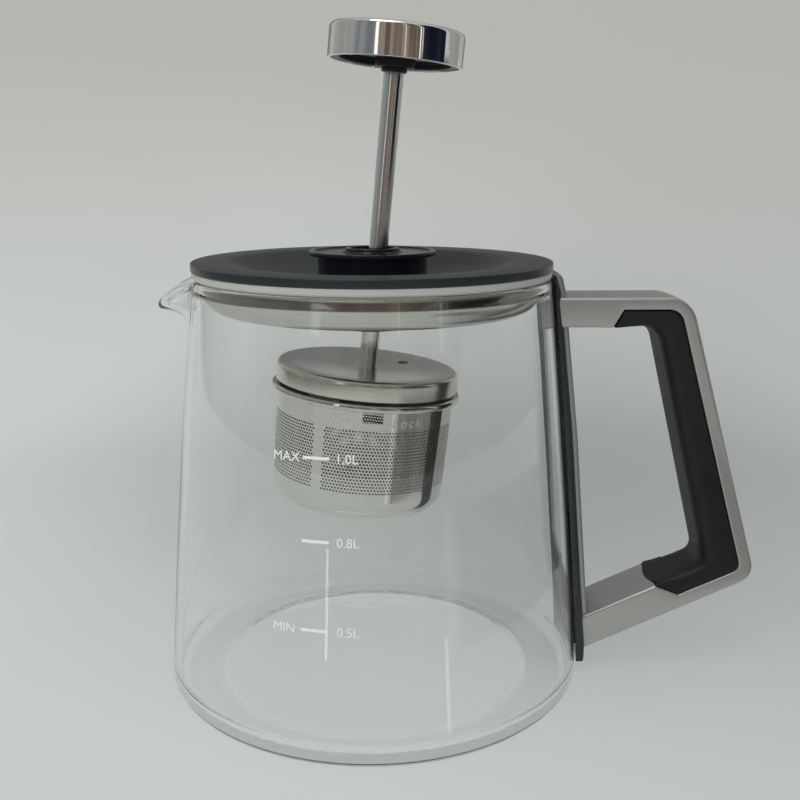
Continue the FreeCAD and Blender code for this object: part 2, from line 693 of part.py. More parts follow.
def screw_places():
    """X of the head's face, Y and Z of each handle screw."""
    places = []
    for side in (-1, 1):
        places.append((dim.screw_top_x, dim.screw_side * side, dim.screw_top_level))
        places.append((dim.screw_low_x, dim.screw_side * side, dim.screw_low_level))
    return places


def bore_screws(body, gap):
    """Countersunk holes for the handle screws."""
    for x, y, level in screw_places():
        shaft = {"Radius": dim.screw_radius + gap, "Height": dim.screw_length + dim.screw_cone}
        primitive(body, "SubtractiveCylinder", shaft, (x, y, level), (0, 1, 0), 90)
        rise = dim.countersink_rise
        head = {"Radius1": dim.screw_head + gap + rise, "Radius2": dim.screw_radius + gap,
                "Height": dim.screw_cone + rise}
        primitive(body, "SubtractiveCone", head, (x - rise, y, level), (0, 1, 0), 90)


def make_handle_screws():
    """Four countersunk screws from under the strip into the arms."""
    screws = []
    for number, (x, y, level) in enumerate(screw_places(), start=1):
        shaft = doc.addObject("Part::Cylinder", "screw_shaft_%d" % number)
        bind(shaft, "Radius", dim.screw_radius)
        bind(shaft, "Height", dim.screw_length)
        head = doc.addObject("Part::Cone", "screw_head_%d" % number)
        bind(head, "Radius1", dim.screw_head)
        bind(head, "Radius2", dim.screw_radius)
        bind(head, "Height", dim.screw_cone)
        for part in (shaft, head):
            turn = Rotation(Vector(0, 1, 0), 90)
            part.Placement = Placement(Vector(x.number, as_size(y).number, level.number), turn)
            for letter, value in zip("xyz", (x, y, level)):
                bind(part, "Placement.Base." + letter, value)
        screw = doc.addObject("Part::Fuse", "screw_%d" % number)
        screw.Base = shaft
        screw.Tool = head
        screws.append(screw)
    group = doc.addObject("Part::Compound", "handle_screws")
    group.Label = "handle_screws"
    group.Links = screws
    nodes.append(group)


# ---------------------------------------------------------------- the lid

def make_lid_cover():
    body = new_body("lid_cover")
    wall = dim.cover_wall
    revolve(body, [
        (dim.lid_radius, dim.lid_level),
        arc(dim.lid_radius, dim.lid_top - dim.lid_edge, dim.lid_edge, 1),
        (dim.lid_radius - dim.lid_edge, dim.lid_top),
        (dim.lid_ring, dim.lid_top),
        (dim.dish_step, dim.dish_step_level),
        (dim.dish_floor, dim.dish_level + dim.dish_rise),
        (dim.dish_flat, dim.dish_level),
        (dim.cover_hole, dim.dish_level),
        (dim.cover_hole, dim.dish_level - wall),
        (dim.dish_flat, dim.dish_level - wall),
        (dim.dish_floor, dim.dish_level + dim.dish_rise - wall),
        (dim.dish_step + dim.cover_inset, dim.dish_step_level - wall),
        (dim.lid_ring + dim.cover_inset, dim.lid_level),
    ])
    return body


def make_lid_seal():
    body = new_body("lid_seal")
    inner = dim.pan_radius + dim.seal_gap
    ledge = dim.lid_level - dim.pan_sheet - dim.seal_gap
    revolve(body, [
        (inner, dim.seal_level),
        (dim.seal_radius, dim.seal_level),
        (dim.seal_radius, dim.lid_level),
        (dim.seal_step, dim.lid_level),
        (dim.seal_step, ledge),
        (inner, ledge),
    ])
    return body


def make_lid_pan():
    body = new_body("lid_pan")
    sheet_in = dim.pan_radius - dim.pan_sheet
    corner_in = dim.pan_corner - dim.pan_sheet
    revolve(body, [
        (dim.pan_hole, dim.pan_bottom),
        arc(dim.pan_radius - dim.pan_corner, dim.pan_bottom, dim.pan_corner, 1),
        (dim.pan_radius, dim.pan_bottom + dim.pan_corner),
        (dim.pan_radius, dim.lid_level - dim.pan_sheet),
        (dim.pan_flange, dim.lid_level - dim.pan_sheet),
        (dim.pan_flange, dim.lid_level),
        (sheet_in, dim.lid_level),
        arc(sheet_in, dim.pan_bottom + dim.pan_corner, corner_in, -1),
        (dim.pan_radius - dim.pan_corner, dim.pan_bottom + dim.pan_sheet),
        (dim.pan_hole, dim.pan_bottom + dim.pan_sheet),
    ])
    return body


def make_lid_hub():
    body = new_body("lid_hub")
    seat = dim.ball_radius + dim.ball_gap
    under_flange = dim.hub_top - dim.hub_flange_height
    floor = dim.pan_bottom + dim.pan_sheet
    seat_top = Size(math.sqrt(seat.number ** 2 - dim.bore_low.number ** 2),
                    "sqrt(%s ^ 2 - %s ^ 2)" % (seat.formula, dim.bore_low.formula))
    retainer_top = dim.hub_end + dim.retainer_height
    revolve(body, [
        (seat, retainer_top),
        (dim.retainer_radius, retainer_top),
        (dim.retainer_radius, dim.hub_end),
        (dim.hub_spigot, dim.hub_end),
        (dim.hub_spigot, floor),
        (dim.hub_neck, floor),
        (dim.hub_neck, dim.dish_level),
        (dim.hub_body, dim.dish_level),
        (dim.hub_body, under_flange),
        (dim.hub_flange, under_flange),
        arc(dim.hub_flange, dim.hub_top - dim.hub_edge, dim.hub_edge, 1),
        (dim.hub_flange - dim.hub_edge, dim.hub_top),
        (dim.ring_outer, dim.hub_top),
        (dim.ring_outer, dim.hub_top - dim.ring_depth),
        (dim.ring_inner, dim.hub_top - dim.ring_depth),
        (dim.ring_inner, dim.hub_top),
        (dim.funnel_radius, dim.hub_top),
        (dim.bore_top, dim.hub_top - dim.funnel_depth),
        arc(dim.bore_low, dim.pivot_height + seat_top, seat, -1),
        (seat, dim.pivot_height),
    ])
    return body


def make_hub_ring():
    body = new_body("hub_ring")
    top = dim.hub_top + dim.ring_rise
    low = dim.hub_top - dim.ring_depth
    edge = dim.ring_edge
    revolve(body, [
        (dim.ring_inner, low),
        (dim.ring_outer, low),
        arc(dim.ring_outer, top - edge, edge, 1),
        (dim.ring_outer - edge, top),
        arc(dim.ring_inner + edge, top, edge, 1),
        (dim.ring_inner, top - edge),
    ])
    return body


def make_hub_gasket():
    body = new_body("hub_gasket")
    revolve(body, [
        (dim.hub_spigot, dim.pan_bottom - dim.gasket_height),
        (dim.nut_radius, dim.pan_bottom - dim.gasket_height),
        (dim.nut_radius, dim.pan_bottom),
        (dim.hub_spigot, dim.pan_bottom),
    ])
    return body


def make_hub_nut():
    body = new_body("hub_nut")
    top = dim.pan_bottom - dim.gasket_height
    revolve(body, [
        (dim.hub_spigot, dim.nut_level),
        (dim.nut_radius, dim.nut_level),
        (dim.nut_radius, top),
        (dim.hub_spigot, top),
    ])
    notch = primitive(
        body, "SubtractiveCylinder",
        {"Radius": dim.nut_notch, "Height": top - dim.nut_level + dim.cut_margin * 2},
        (dim.nut_radius + dim.notch_offset, 0, dim.nut_level - dim.cut_margin))
    repeat_round(body, [notch], dim.notch_count)
    return body


def make_bush_retainer():
    body = new_body("bush_retainer")
    top = dim.hub_end + dim.retainer_height
    revolve(body, [
        (dim.retainer_low, dim.hub_end),
        (dim.retainer_radius, dim.hub_end),
        (dim.retainer_radius, top),
        (dim.retainer_top, top),
    ])
    return body


# ---------------------------------------------------------------- the swivelling bush

def make_rod_bush():
    """A ball cut flat at both ends, with a bore for the rod and a groove for the grip ring."""
    body = new_body("rod_bush")
    face = Size(math.sqrt(dim.ball_radius.number ** 2 - dim.ball_half.number ** 2),
                "sqrt(%s ^ 2 - %s ^ 2)" % (dim.ball_radius.formula, dim.ball_half.formula))
    groove = dim.groove_radius
    revolve(body, [
        (dim.ball_bore, -dim.ball_half),
        arc(face, -dim.ball_half, dim.ball_radius, 1),
        (face, dim.ball_half),
        (dim.ball_bore, dim.ball_half),
        (dim.ball_bore, dim.groove_half),
        (groove, dim.groove_half),
        (groove, -dim.groove_half),
        (dim.ball_bore, -dim.groove_half),
    ])
    lean_with_rod(body)
    return body


def make_bush_ring():
    """The rubber ring in the bush that grips the rod and holds it at any height."""
    ring = doc.addObject("Part::Torus", "bush_ring")
    ring.Label = "bush_ring"
    bind(ring, "Radius1", dim.grip_ring_middle)
    bind(ring, "Radius2", dim.grip_ring_tube)
    lean_with_rod(ring)
    nodes.append(ring)


# ---------------------------------------------------------------- rod, knob and basket lid

def rod_shoulder():
    """Where the rod's shoulder meets the pressed middle of the basket's lid."""
    return dim.lid_plate - dim.lid_plate_dish


def washer_level():
    """The underside of the washer that lies under the basket's lid."""
    return rod_shoulder() - dim.lid_plate_sheet - dim.washer_height


def make_lift_rod():
    body = new_body("lift_rod")
    end = washer_level() - dim.foot_nut_height - dim.rod_tail
    revolve(body, [
        (0, end),
        (dim.rod_thread, end),
        (dim.rod_thread, rod_shoulder()),
        (dim.rod_radius, rod_shoulder()),
        (dim.rod_radius, dim.rod_top),
        (dim.rod_pilot, dim.rod_top),
        (dim.rod_pilot, dim.rod_top - dim.pilot_depth),
        (0, dim.rod_top - dim.pilot_depth),
    ])
    lean_with_rod(body)
    return body


def make_knob_shell():
    body = new_body("knob_shell")
    wall = dim.knob_shell_wall
    inner_edge = dim.knob_edge - wall
    revolve(body, [
        (dim.knob_radius - wall, dim.knob_low),
        (dim.knob_radius, dim.knob_low),
        arc(dim.knob_radius, dim.knob_top - dim.knob_edge, dim.knob_edge, 1),
        (dim.knob_radius - dim.knob_edge, dim.knob_top),
        (0, dim.knob_top),
        (0, dim.knob_top - wall),
        arc(dim.knob_radius - dim.knob_edge, dim.knob_top - wall, inner_edge, -1),
        (dim.knob_radius - wall, dim.knob_top - dim.knob_edge),
    ])
    lean_with_rod(body)
    return body


def make_knob_core():
    body = new_body("knob_core")
    wall = dim.knob_shell_wall
    outer = dim.knob_radius - wall
    top = dim.knob_top - wall
    inner_edge = dim.knob_edge - wall
    recess = dim.knob_low + dim.recess_depth
    rim = dim.knob_low + dim.knob_rim_rise
    screw_low = dim.knob_screw_top - dim.knob_screw_height
    head_hole = dim.knob_screw_head + dim.knob_screw_gap
    shaft_hole = dim.rod_pilot + dim.knob_screw_gap
    revolve(body, [
        (dim.knob_recess, rim),
        (outer, rim),
        arc(outer, dim.knob_top - dim.knob_edge, inner_edge, 1),
        (dim.knob_radius - dim.knob_edge, top),
        (head_hole, top),
        (head_hole, screw_low),
        (shaft_hole, screw_low),
        (shaft_hole, dim.rod_top),
        (dim.rod_radius, dim.rod_top),
        (dim.rod_radius, dim.core_hub_low),
        (dim.core_hub, dim.core_hub_low),
        (dim.core_hub, recess),
        (dim.knob_recess, recess),
    ])
    lean_with_rod(body)
    return body


def make_knob_collar():
    body = new_body("knob_collar")
    revolve(body, [
        (dim.rod_radius, dim.collar_low),
        (dim.collar_radius, dim.collar_low),
        (dim.collar_radius, dim.core_hub_low),
        (dim.rod_radius, dim.core_hub_low),
    ])
    lean_with_rod(body)
    return body


def make_knob_screw():
    body = new_body("knob_screw")
    head_low = dim.knob_screw_top - dim.knob_screw_height
    revolve(body, [
        (0, dim.knob_screw_end),
        (dim.rod_pilot, dim.knob_screw_end),
        (dim.rod_pilot, head_low),
        (dim.knob_screw_head, head_low),
        (dim.knob_screw_head, dim.knob_screw_top),
        (0, dim.knob_screw_top),
    ])
    lean_with_rod(body)
    return body


def make_basket_lid():
    body = new_body("basket_lid")
    top = dim.lid_plate
    wall = dim.lid_plate_sheet
    edge_in = dim.lid_plate_edge - wall
    seat = rod_shoulder()
    revolve(body, [
        (dim.rod_thread, seat - wall),
        (dim.lid_plate_seat, seat - wall),
        (dim.lid_plate_slope, top - wall),
        arc(dim.lid_plate_radius - dim.lid_plate_edge, top - wall, edge_in, -1),
        (dim.lid_plate_radius - wall, top - dim.lid_plate_edge),
        (dim.lid_plate_radius - wall, top - dim.lid_skirt),
        (dim.lid_plate_radius, top - dim.lid_skirt),
        arc(dim.lid_plate_radius, top - dim.lid_plate_edge, dim.lid_plate_edge, 1),
        (dim.lid_plate_radius - dim.lid_plate_edge, top),
        (dim.lid_plate_slope, top),
        (dim.lid_plate_seat, seat),
        (dim.rod_thread, seat),
    ])
    vent = {"Radius": dim.vent_radius,
            "Height": wall + dim.lid_plate_dish + dim.cut_margin * 2}
    primitive(body, "SubtractiveCylinder", vent,
              (dim.vent_distance * cosine(dim.vent_azimuth),
               dim.vent_distance * sine(dim.vent_azimuth), seat - wall - dim.cut_margin))
    lean_with_rod(body)
    return body


def make_lug_ring():
    """A ring welded inside the skirt, with lugs that carry the cup's tabs."""
    body = new_body("lug_ring")
    top = dim.lid_plate
    outer = dim.lid_plate_radius - dim.lid_plate_sheet
    inner = outer - dim.lug_ring_wall
    revolve(body, [
        (inner, top - dim.lug_low),
        (outer, top - dim.lug_low),
        (outer, top - dim.lug_ring_top),
        (inner, top - dim.lug_ring_top),
    ])
    lug = revolve(body, [
        (dim.lug_inner, top - dim.lug_low),
        (inner + dim.lug_weld, top - dim.lug_low),
        (inner + dim.lug_weld, top - dim.lug_top),
        (dim.lug_inner, top - dim.lug_top),
    ], dim.lug_angle)
    repeat_round(body, [lug], dim.lug_count)
    lean_with_rod(body)
    return body


def make_rod_washer():
    """The washer between the basket's lid and the foot nut."""
    body = new_body("rod_washer")
    low = washer_level()
    revolve(body, [
        (dim.rod_thread, low),
        (dim.washer_radius, low),
        (dim.washer_radius, low + dim.washer_height),
        (dim.rod_thread, low + dim.washer_height),
    ])
    lean_with_rod(body)
    return body


def make_foot_nut():
    """The hexagon nut that clamps the basket's lid to the rod."""
    body = new_body("foot_nut")
    flat = dim.foot_nut
    corner = flat / cosine(dim.hexagon_half)
    level = washer_level() - dim.foot_nut_height
    hexagon = outline_sketch(body, "XY_Plane", [
        (corner, 0), (corner / 2, flat), (-corner / 2, flat),
        (-corner, 0), (-corner / 2, -flat), (corner / 2, -flat),
    ])
    bind(hexagon, "AttachmentOffset.Base.z", level)
    block = body.newObject("PartDesign::Pad", "foot_nut_pad")
    block.Profile = hexagon
    bind(block, "Length", dim.foot_nut_height)
    primitive(body, "SubtractiveCylinder",
              {"Radius": dim.rod_thread, "Height": dim.foot_nut_height + dim.cut_margin * 2},
              (0, 0, level - dim.cut_margin))
    lean_with_rod(body)
    return body


# ---------------------------------------------------------------- the cup

def make_basket_cup():
    body = new_body("basket_cup")
    top = dim.lid_plate
    wall = dim.cup_sheet
    bottom = top - dim.cup_height
    rim_top = top - dim.cup_flange_top
    rim_low = rim_top - dim.cup_flange_height
    half_roll = dim.cup_flange_height / 2
    roll = half_roll + dim.cup_roll_ease
    corner_level = bottom + dim.cup_corner
    neck_in = dim.cup_neck - wall
    revolve(body, [
        (0, bottom),
        arc(dim.cup_low_radius - dim.cup_corner, bottom, dim.cup_corner, 1),
        (dim.cup_low_radius, corner_level),
        (dim.cup_radius, rim_low),
        arc(dim.cup_flange - half_roll, rim_low, roll, 1),
        (dim.cup_flange - half_roll, rim_top),
        (dim.cup_neck, rim_top),
        (dim.cup_neck, top - dim.cup_neck_top),
        (neck_in, top - dim.cup_neck_top),
        (neck_in, rim_top - wall),
        (dim.cup_radius - wall, rim_low),
        arc(dim.cup_low_radius - wall, corner_level, dim.cup_corner - wall, -1),
        (dim.cup_low_radius - dim.cup_corner, bottom + wall),
        (0, bottom + wall),
    ])
    tab = revolve(body, [
        (dim.cup_neck - wall / 2, top - dim.tab_low),
        (dim.tab_radius, top - dim.tab_low),
        (dim.tab_radius, top - dim.tab_top),
        (dim.cup_neck - wall / 2, top - dim.tab_top),
    ], dim.lug_angle)
    repeat_round(body, [tab], dim.lug_count)
    azimuth = dim.window_azimuth
    half = dim.window_width / 2
    start = dim.cup_radius - dim.cutter_reach / 2
    window = primitive(
        body, "SubtractiveBox",
        {"Length": dim.cutter_reach, "Width": dim.window_width, "Height": dim.window_height},
        (start * cosine(azimuth) + half * sine(azimuth),
         start * sine(azimuth) - half * cosine(azimuth),
         top - dim.window_top - dim.window_height),
        (0, 0, 1), azimuth)
    repeat_round(body, [window], dim.lug_count)
    lean_with_rod(body)
    return body


# ---------------------------------------------------------------- building and writing

def failed(thing):
    return any(word in state for state in thing.State for word in ("Invalid", "Error"))


def main():
    make_glass_jug()
    make_bracket_pad()
    make_handle_bracket()
    make_handle_spine()
    make_handle_frame()
    make_handle_grip()
    make_grip_core()
    make_handle_screws()
    make_lid_cover()
    make_lid_seal()
    make_lid_pan()
    make_lid_hub()
    make_hub_ring()
    make_hub_gasket()
    make_hub_nut()
    make_bush_retainer()
    make_rod_bush()
    make_bush_ring()
    make_lift_rod()
    make_knob_shell()
    make_knob_core()
    make_knob_collar()
    make_knob_screw()
    make_basket_lid()
    make_lug_ring()
    make_rod_washer()
    make_foot_nut()
    make_basket_cup()
    doc.recompute()
    problems = [thing.Name for thing in doc.Objects if failed(thing)]
    for node in nodes:
        if node.Shape.isNull() or not node.Shape.isValid() or not node.Shape.Solids:
            problems.append(node.Label)
    if problems:
        raise RuntimeError("not built: " + ", ".join(problems))
    os.makedirs("parts", exist_ok=True)
    for node in nodes:
        node.Shape.exportStep("parts/%s.step" % node.Label)
        print("%-16s %2d solids %9.1f mm3" % (node.Label, len(node.Shape.Solids), node.Shape.Volume))


main()
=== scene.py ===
import json
import math

import bpy
import numpy as np
from bpy.props import FloatProperty, FloatVectorProperty, IntProperty, PointerProperty
from bpy.types import Operator, Panel, PropertyGroup
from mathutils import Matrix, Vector


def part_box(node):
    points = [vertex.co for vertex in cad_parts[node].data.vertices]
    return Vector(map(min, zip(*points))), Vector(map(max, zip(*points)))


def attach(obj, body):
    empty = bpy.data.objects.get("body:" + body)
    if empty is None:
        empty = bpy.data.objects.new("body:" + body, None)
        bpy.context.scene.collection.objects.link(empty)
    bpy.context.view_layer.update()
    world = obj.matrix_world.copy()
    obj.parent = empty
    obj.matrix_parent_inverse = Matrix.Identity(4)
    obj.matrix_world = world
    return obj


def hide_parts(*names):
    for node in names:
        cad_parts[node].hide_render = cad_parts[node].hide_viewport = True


bl_info = {
    "name": "Tea Maker Jug",
    "version": (1, 0, 0),
    "blender": (4, 5, 0),
    "location": "3D View > Sidebar > Tea Maker",
    "description": "Dresses the construction model of a glass tea jug and its infuser",
    "category": "Add Mesh",
}

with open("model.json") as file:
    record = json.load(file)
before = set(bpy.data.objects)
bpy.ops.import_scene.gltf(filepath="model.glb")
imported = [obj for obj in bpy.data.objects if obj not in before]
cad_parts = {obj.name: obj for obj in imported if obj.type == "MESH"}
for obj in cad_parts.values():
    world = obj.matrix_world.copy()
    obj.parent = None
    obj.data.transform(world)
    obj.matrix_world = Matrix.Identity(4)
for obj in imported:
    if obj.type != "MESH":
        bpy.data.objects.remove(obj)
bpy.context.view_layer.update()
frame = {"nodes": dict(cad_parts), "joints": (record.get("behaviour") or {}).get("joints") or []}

MM = 0.001
JOINTS = {joint["name"]: joint for joint in frame["joints"]}
PIVOT = np.array(JOINTS["rod_lean"]["pos_m"], float)
ROD_AXIS = np.array(JOINTS["rod_lift"]["axis"], float)
LEAN = math.atan2(ROD_AXIS[0], ROD_AXIS[2])
SHARP_ANGLE = math.radians(38)
SAME_POINT = 1e-7
STRAIGHT = 1e-4
PRINT_GAP = 0.01 * MM
ETCH = 0.03 * MM
# Points on each arc and between two arcs of the handle's curves.
ARC_POINTS, RUN_POINTS = 8, 5


# ---------------------------------------------------------------- properties

def length(name, description, value):
    """A length property; value is in millimetres."""
    return FloatProperty(name=name, description=description, default=value * MM,
                         unit="LENGTH", precision=5)


def angle(name, description, value):
    """An angle property; value is in degrees."""
    return FloatProperty(name=name, description=description, default=math.radians(value),
                         unit="ROTATION")


def share(name, description, value):
    """A plain number, such as a strength or a power."""
    return FloatProperty(name=name, description=description, default=value)


def colour(name, description, value):
    """A linear colour."""
    return FloatVectorProperty(name=name, description=description, default=value,
                               subtype="COLOR", size=3, min=0.0, max=1.0)


def half_width(node):
    """Half of a node's width along Y, in millimetres."""
    low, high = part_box(node)
    return (high.y - low.y) / 2 / MM


def top_of(node):
    """The height of a node's highest point, in millimetres."""
    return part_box(node)[1].z / MM


class TeaJugGlass(PropertyGroup):
    """Sizes of the glass jug."""
    widest: length("Widest radius", "Largest outer radius, above the foot",
                   half_width("glass_jug") - 0.06)
    height: length("Height", "Height of the rim", top_of("glass_jug"))
    belly_radius: length("Belly radius", "Outer radius where the wall starts to bow", 65.34)
    belly_height: length("Belly height", "Height where the wall starts to bow", 30.0)
    rim_radius: length("Rim radius", "Outer radius at the rim", 55.94)
    bow: length("Bow", "How far the wall bows out of a straight cone", 0.36)
    wall: length("Wall", "Thickness of the glass", 2.3)
    rim_width: length("Rim width", "Thickness of the glass at the rim", 3.3)
    neck: length("Neck", "Height of the thicker glass at the rim", 4.2)
    floor: length("Floor", "Thickness of the floor", 3.5)
    heel: length("Heel", "Outer corner between base and wall", 5.0)
    floor_corner: length("Floor corner", "Inner corner between floor and wall", 5.0)
    kick: length("Kick-up", "Rise of the underside inside the foot", 0.5)
    foot_inner: length("Foot", "Inner radius of the ring that the jug stands on", 53.0)
    rim_round: length("Rim round", "Round of the rim", 1.4)
    spout_reach: length("Spout reach", "How far the lip is drawn out", 11.2)
    spout_droop: length("Spout droop", "How far the lip is drawn down", 7.1)
    spout_low: length("Spout start", "Height where the wall starts to swing out", 114.0)
    spout_half: angle("Spout width", "Half of the spout's width round the jug", 15.0)
    columns: IntProperty(name="Columns", description="Faces round the jug", default=384)


class TeaJugMarks(PropertyGroup):
    """Places of the printed level marks."""
    high: length("Full level", "Height of the upper mark", 88.9)
    middle: length("Middle level", "Height of the middle mark", 66.1)
    low: length("Low level", "Height of the lower mark", 41.1)
    letter: length("Letter height", "Height of the capitals", 2.55)
    dash: length("Dash width", "Height of a mark's line", 0.85)
    dash_start: angle("Dash start", "Left end of the line, towards the spout", 18.3)
    dash_end: angle("Dash end", "Right end of the line", 11.3)
    word: angle("Word", "Middle of the word on the left", 22.8)
    number: angle("Number", "Middle of the number on the right", 6.5)
    ink: length("Ink", "Thickness of the print", 0.04)


class TeaJugHandle(PropertyGroup):
    """Sizes of the strip, the spine, the frame and the grip."""
    strip_half: angle("Strip width", "Half of the strip's width round the jug", 10.0)
    spine_half: angle("Spine width", "Half of the spine's width round the jug", 7.4)
    half_width: length("Half width", "Half of the frame's width", half_width("handle_frame"))
    crown: length("Crown", "How far the outer faces bulge", 0.25)
    frame_edge: length("Frame edge", "Round of the frame's long edges", 1.3)
    inner_edge: length("Inner edge", "Round of the arms' inner edges", 1.1)
    seam: length("Seam", "Round of the edges where frame and grip meet", 0.45)
    palm_edge: length("Palm edge", "Round of the grip's inner edges", 4.2)
    toe_bulge: length("Toe bulge", "How far the grip's lower end reaches along the arm", 3.0)


class TeaJugLid(PropertyGroup):
    """Sizes of the lid's pieces."""
    radius: length("Radius", "Outer radius of the cover", half_width("lid_cover"))
    top: length("Top", "Height of the cover", top_of("lid_cover"))
    band: length("Band", "Height of the cover's outer band", 2.5)
    ring: length("Flat ring", "Inner radius of the flat ring", 43.5)
    step: length("Step", "Radius of the dish's upper edge", 41.6)
    hub_radius: length("Hub", "Radius of the hub's flange", half_width("lid_hub"))
    hub_top: length("Hub top", "Height of the hub", top_of("lid_hub"))
    pan_radius: length("Pan", "Outer radius of the pan", 52.2)
    pan_bottom: length("Pan bottom", "Height of the pan's underside", 121.0)


class TeaJugRod(PropertyGroup):
    """Sizes of the rod and the knob, measured along the rod from its pivot."""
    radius: length("Rod", "Radius of the rod", half_width("lift_rod"))
    knob_radius: length("Knob", "Radius of the knob", half_width("knob_shell"))
    knob_low: length("Knob low", "Lower edge of the knob", 74.5)
    knob_top: length("Knob top", "Top of the knob", 84.5)
    knob_edge: length("Knob edge", "Round of the knob's top edge", 1.4)


class TeaJugBasket(PropertyGroup):
    """Sizes of the basket, measured along the rod from its pivot."""
    lid_top: length("Lid top", "Top of the basket's lid", -17.0)
    lid_radius: length("Lid radius", "Radius of the basket's lid", 29.0)
    skirt: length("Skirt", "Height of the lid's skirt", 5.9)
    vent: length("Vent", "Radius of the vent hole", 1.75)
    rim: length("Rim", "Radius of the cup's rolled rim", 30.25)
    mouth_radius: length("Mouth", "Radius of the cup below its rim", 28.1)
    base_radius: length("Base", "Radius of the cup at its lower corner", 27.5)
    rim_top: length("Rim top", "Top of the rolled rim below the lid's top", 6.7)
    rim_height: length("Rim height", "Height of the rolled rim", 2.2)
    depth: length("Depth", "Bottom of the cup below the lid's top", 44.0)
    sheet: length("Sheet", "Thickness of the cup's sheet", 0.6)
    zone_top: length("Zone top", "Top of the perforation below the lid's top", 14.8)
    zone_low: length("Zone low", "Lower end of the perforation below the lid's top", 34.9)
    dish: length("Dish", "How far the lid's middle is pressed down", 1.6)
    hole: length("Hole", "Radius of a hole", 0.34)
    columns: IntProperty(name="Columns", description="Columns round the cup", default=348)
    rows: IntProperty(name="Rows", description="Rows of holes", default=20)
    panel: IntProperty(name="Panel", description="Columns between two plain strips", default=110)
    window_top: length("Window top", "Top of the windows below the lid's top", 9.4)
    window_height: length("Window height", "Height of a window", 3.0)
    window_cells: IntProperty(name="Window width", description="Columns across a window",
                              default=12)
    window: angle("Window", "Azimuth of the first window", -85.2)
    word_height: length("Word height", "Height of the etched capitals", 2.9)
    word_level: length("Word level", "Middle of the words below the lid's top", 12.1)
    open_word: angle("Open", "Azimuth of the middle of the first word", -103.5)
    lock_word: angle("Lock", "Azimuth of the middle of the second word", -62.5)


class TeaJugColours(PropertyGroup):
    """Colours of the finishes."""
    glass: colour("Glass", "Tint of the glass", (0.985, 0.992, 0.986))
    print_white: colour("Print", "Level marks", (0.90, 0.90, 0.88))
    silver: colour("Silver", "Handle frame", (0.50, 0.495, 0.48))
    spine: colour("Spine", "Spine behind the strip", (0.37, 0.385, 0.41))
    black: colour("Black", "Grip and inner parts", (0.009, 0.010, 0.0105))
    strip: colour("Strip", "Strip on the glass", (0.017, 0.021, 0.024))
    lid_black: colour("Lid", "Lid cover", (0.017, 0.022, 0.024))
    hub_black: colour("Hub", "Hub and knob core", (0.006, 0.0075, 0.0115))
    seal: colour("Seal", "Silicone seal", (0.50, 0.51, 0.47))
    steel: colour("Steel", "Pan and cup", (0.64, 0.625, 0.60))
    # The pan's dark band: a painted reflection of the dark room, not a darker steel.
    rolled: colour("Pan band painted reflection", "Dark band of the pan", (0.27, 0.26, 0.225))
    lid_steel: colour("Basket lid", "Basket lid", (0.70, 0.685, 0.62))
    chrome: colour("Chrome", "Knob", (0.80, 0.79, 0.78))
    rod: colour("Rod", "Rod", (0.66, 0.665, 0.66))
    white_plastic: colour("Bearing", "Bush in the hub", (0.75, 0.74, 0.70))
    floor: colour("Floor", "Floor", (0.63, 0.665, 0.65))
    backdrop: colour("Backdrop", "Backdrop", (0.52, 0.52, 0.485))


class TeaJugStage(PropertyGroup):
    """Camera, floor and lamps."""
    eye_distance: length("Eye distance", "Camera's distance in front of the axis", 315.4)
    eye_height: length("Eye height", "Camera's height", 165.2)
    yaw: angle("Yaw", "Turn of the camera towards the handle", 1.56)
    pitch: angle("Pitch", "Downward tilt of the camera", 13.24)
    lens: FloatProperty(name="Lens", description="Focal length", default=45.23, unit="CAMERA")
    room: share("Room light", "Strength of the even light", 0.58)
    glow: share("Glow", "Part of the floor's tone that needs no light", 0.65)


# ---------------------------------------------------------------- outlines

def rounded(corners, steps=7, closed=True):
    """A polyline through corners (x, y, radius) with an arc at each corner.

    Where the edges turn by an angle t, the arc starts at the distance radius * tan(t / 2)
    from the corner, its centre lies on the bisector at radius / cos(t / 2), and its points
    are the centre plus the two end spokes, weighted by sin((1 - s) t) / sin t and
    sin(s t) / sin t for s from 0 to 1. The result has shape corners x steps x 2.
    """
    corners = np.asarray(corners, float)
    point, radius = corners[:, :2], corners[:, 2:3]
    back, ahead = np.roll(point, 1, 0) - point, np.roll(point, -1, 0) - point
    if not closed:
        back[0], ahead[-1] = -ahead[0], -back[-1]
    back /= np.linalg.norm(back, axis=1, keepdims=True)
    ahead /= np.linalg.norm(ahead, axis=1, keepdims=True)
    turn = np.arccos(np.clip(-(back * ahead).sum(1, keepdims=True), -1, 1))
    turn = np.maximum(turn, SAME_POINT)
    bisector = back + ahead
    size = np.maximum(np.linalg.norm(bisector, axis=1, keepdims=True), SAME_POINT)
    centre = point + bisector / size * radius / np.cos(turn / 2)
    run = radius * np.tan(turn / 2)
    first, last = point + back * run - centre, point + ahead * run - centre
    s = np.linspace(0, 1, steps)[None, :, None]
    t = turn[:, None, :]
    spoke = first[:, None, :] * np.sin((1 - s) * t) + last[:, None, :] * np.sin(s * t)
    arc = centre[:, None, :] + spoke / np.sin(t)
    sharp = (radius < SAME_POINT)[:, None, :] | (t < STRAIGHT)
    return np.where(sharp, point[:, None, :], arc)


def distinct(line):
    """The points of a polyline without those that repeat the one before."""
    line = line.reshape(-1, 2)
    keep = np.linalg.norm(np.diff(line, axis=0), axis=1) > SAME_POINT
    return line[np.concatenate([[True], keep])]


def outline(corners, steps=7, closed=True):
    """Rounded corners as one polyline, in metres, from millimetres (radius, height, round)."""
    line = distinct(rounded(np.asarray(corners, float) * MM, steps, closed))
    if closed and np.linalg.norm(line[0] - line[-1]) < SAME_POINT:
        line = line[:-1]
    return line


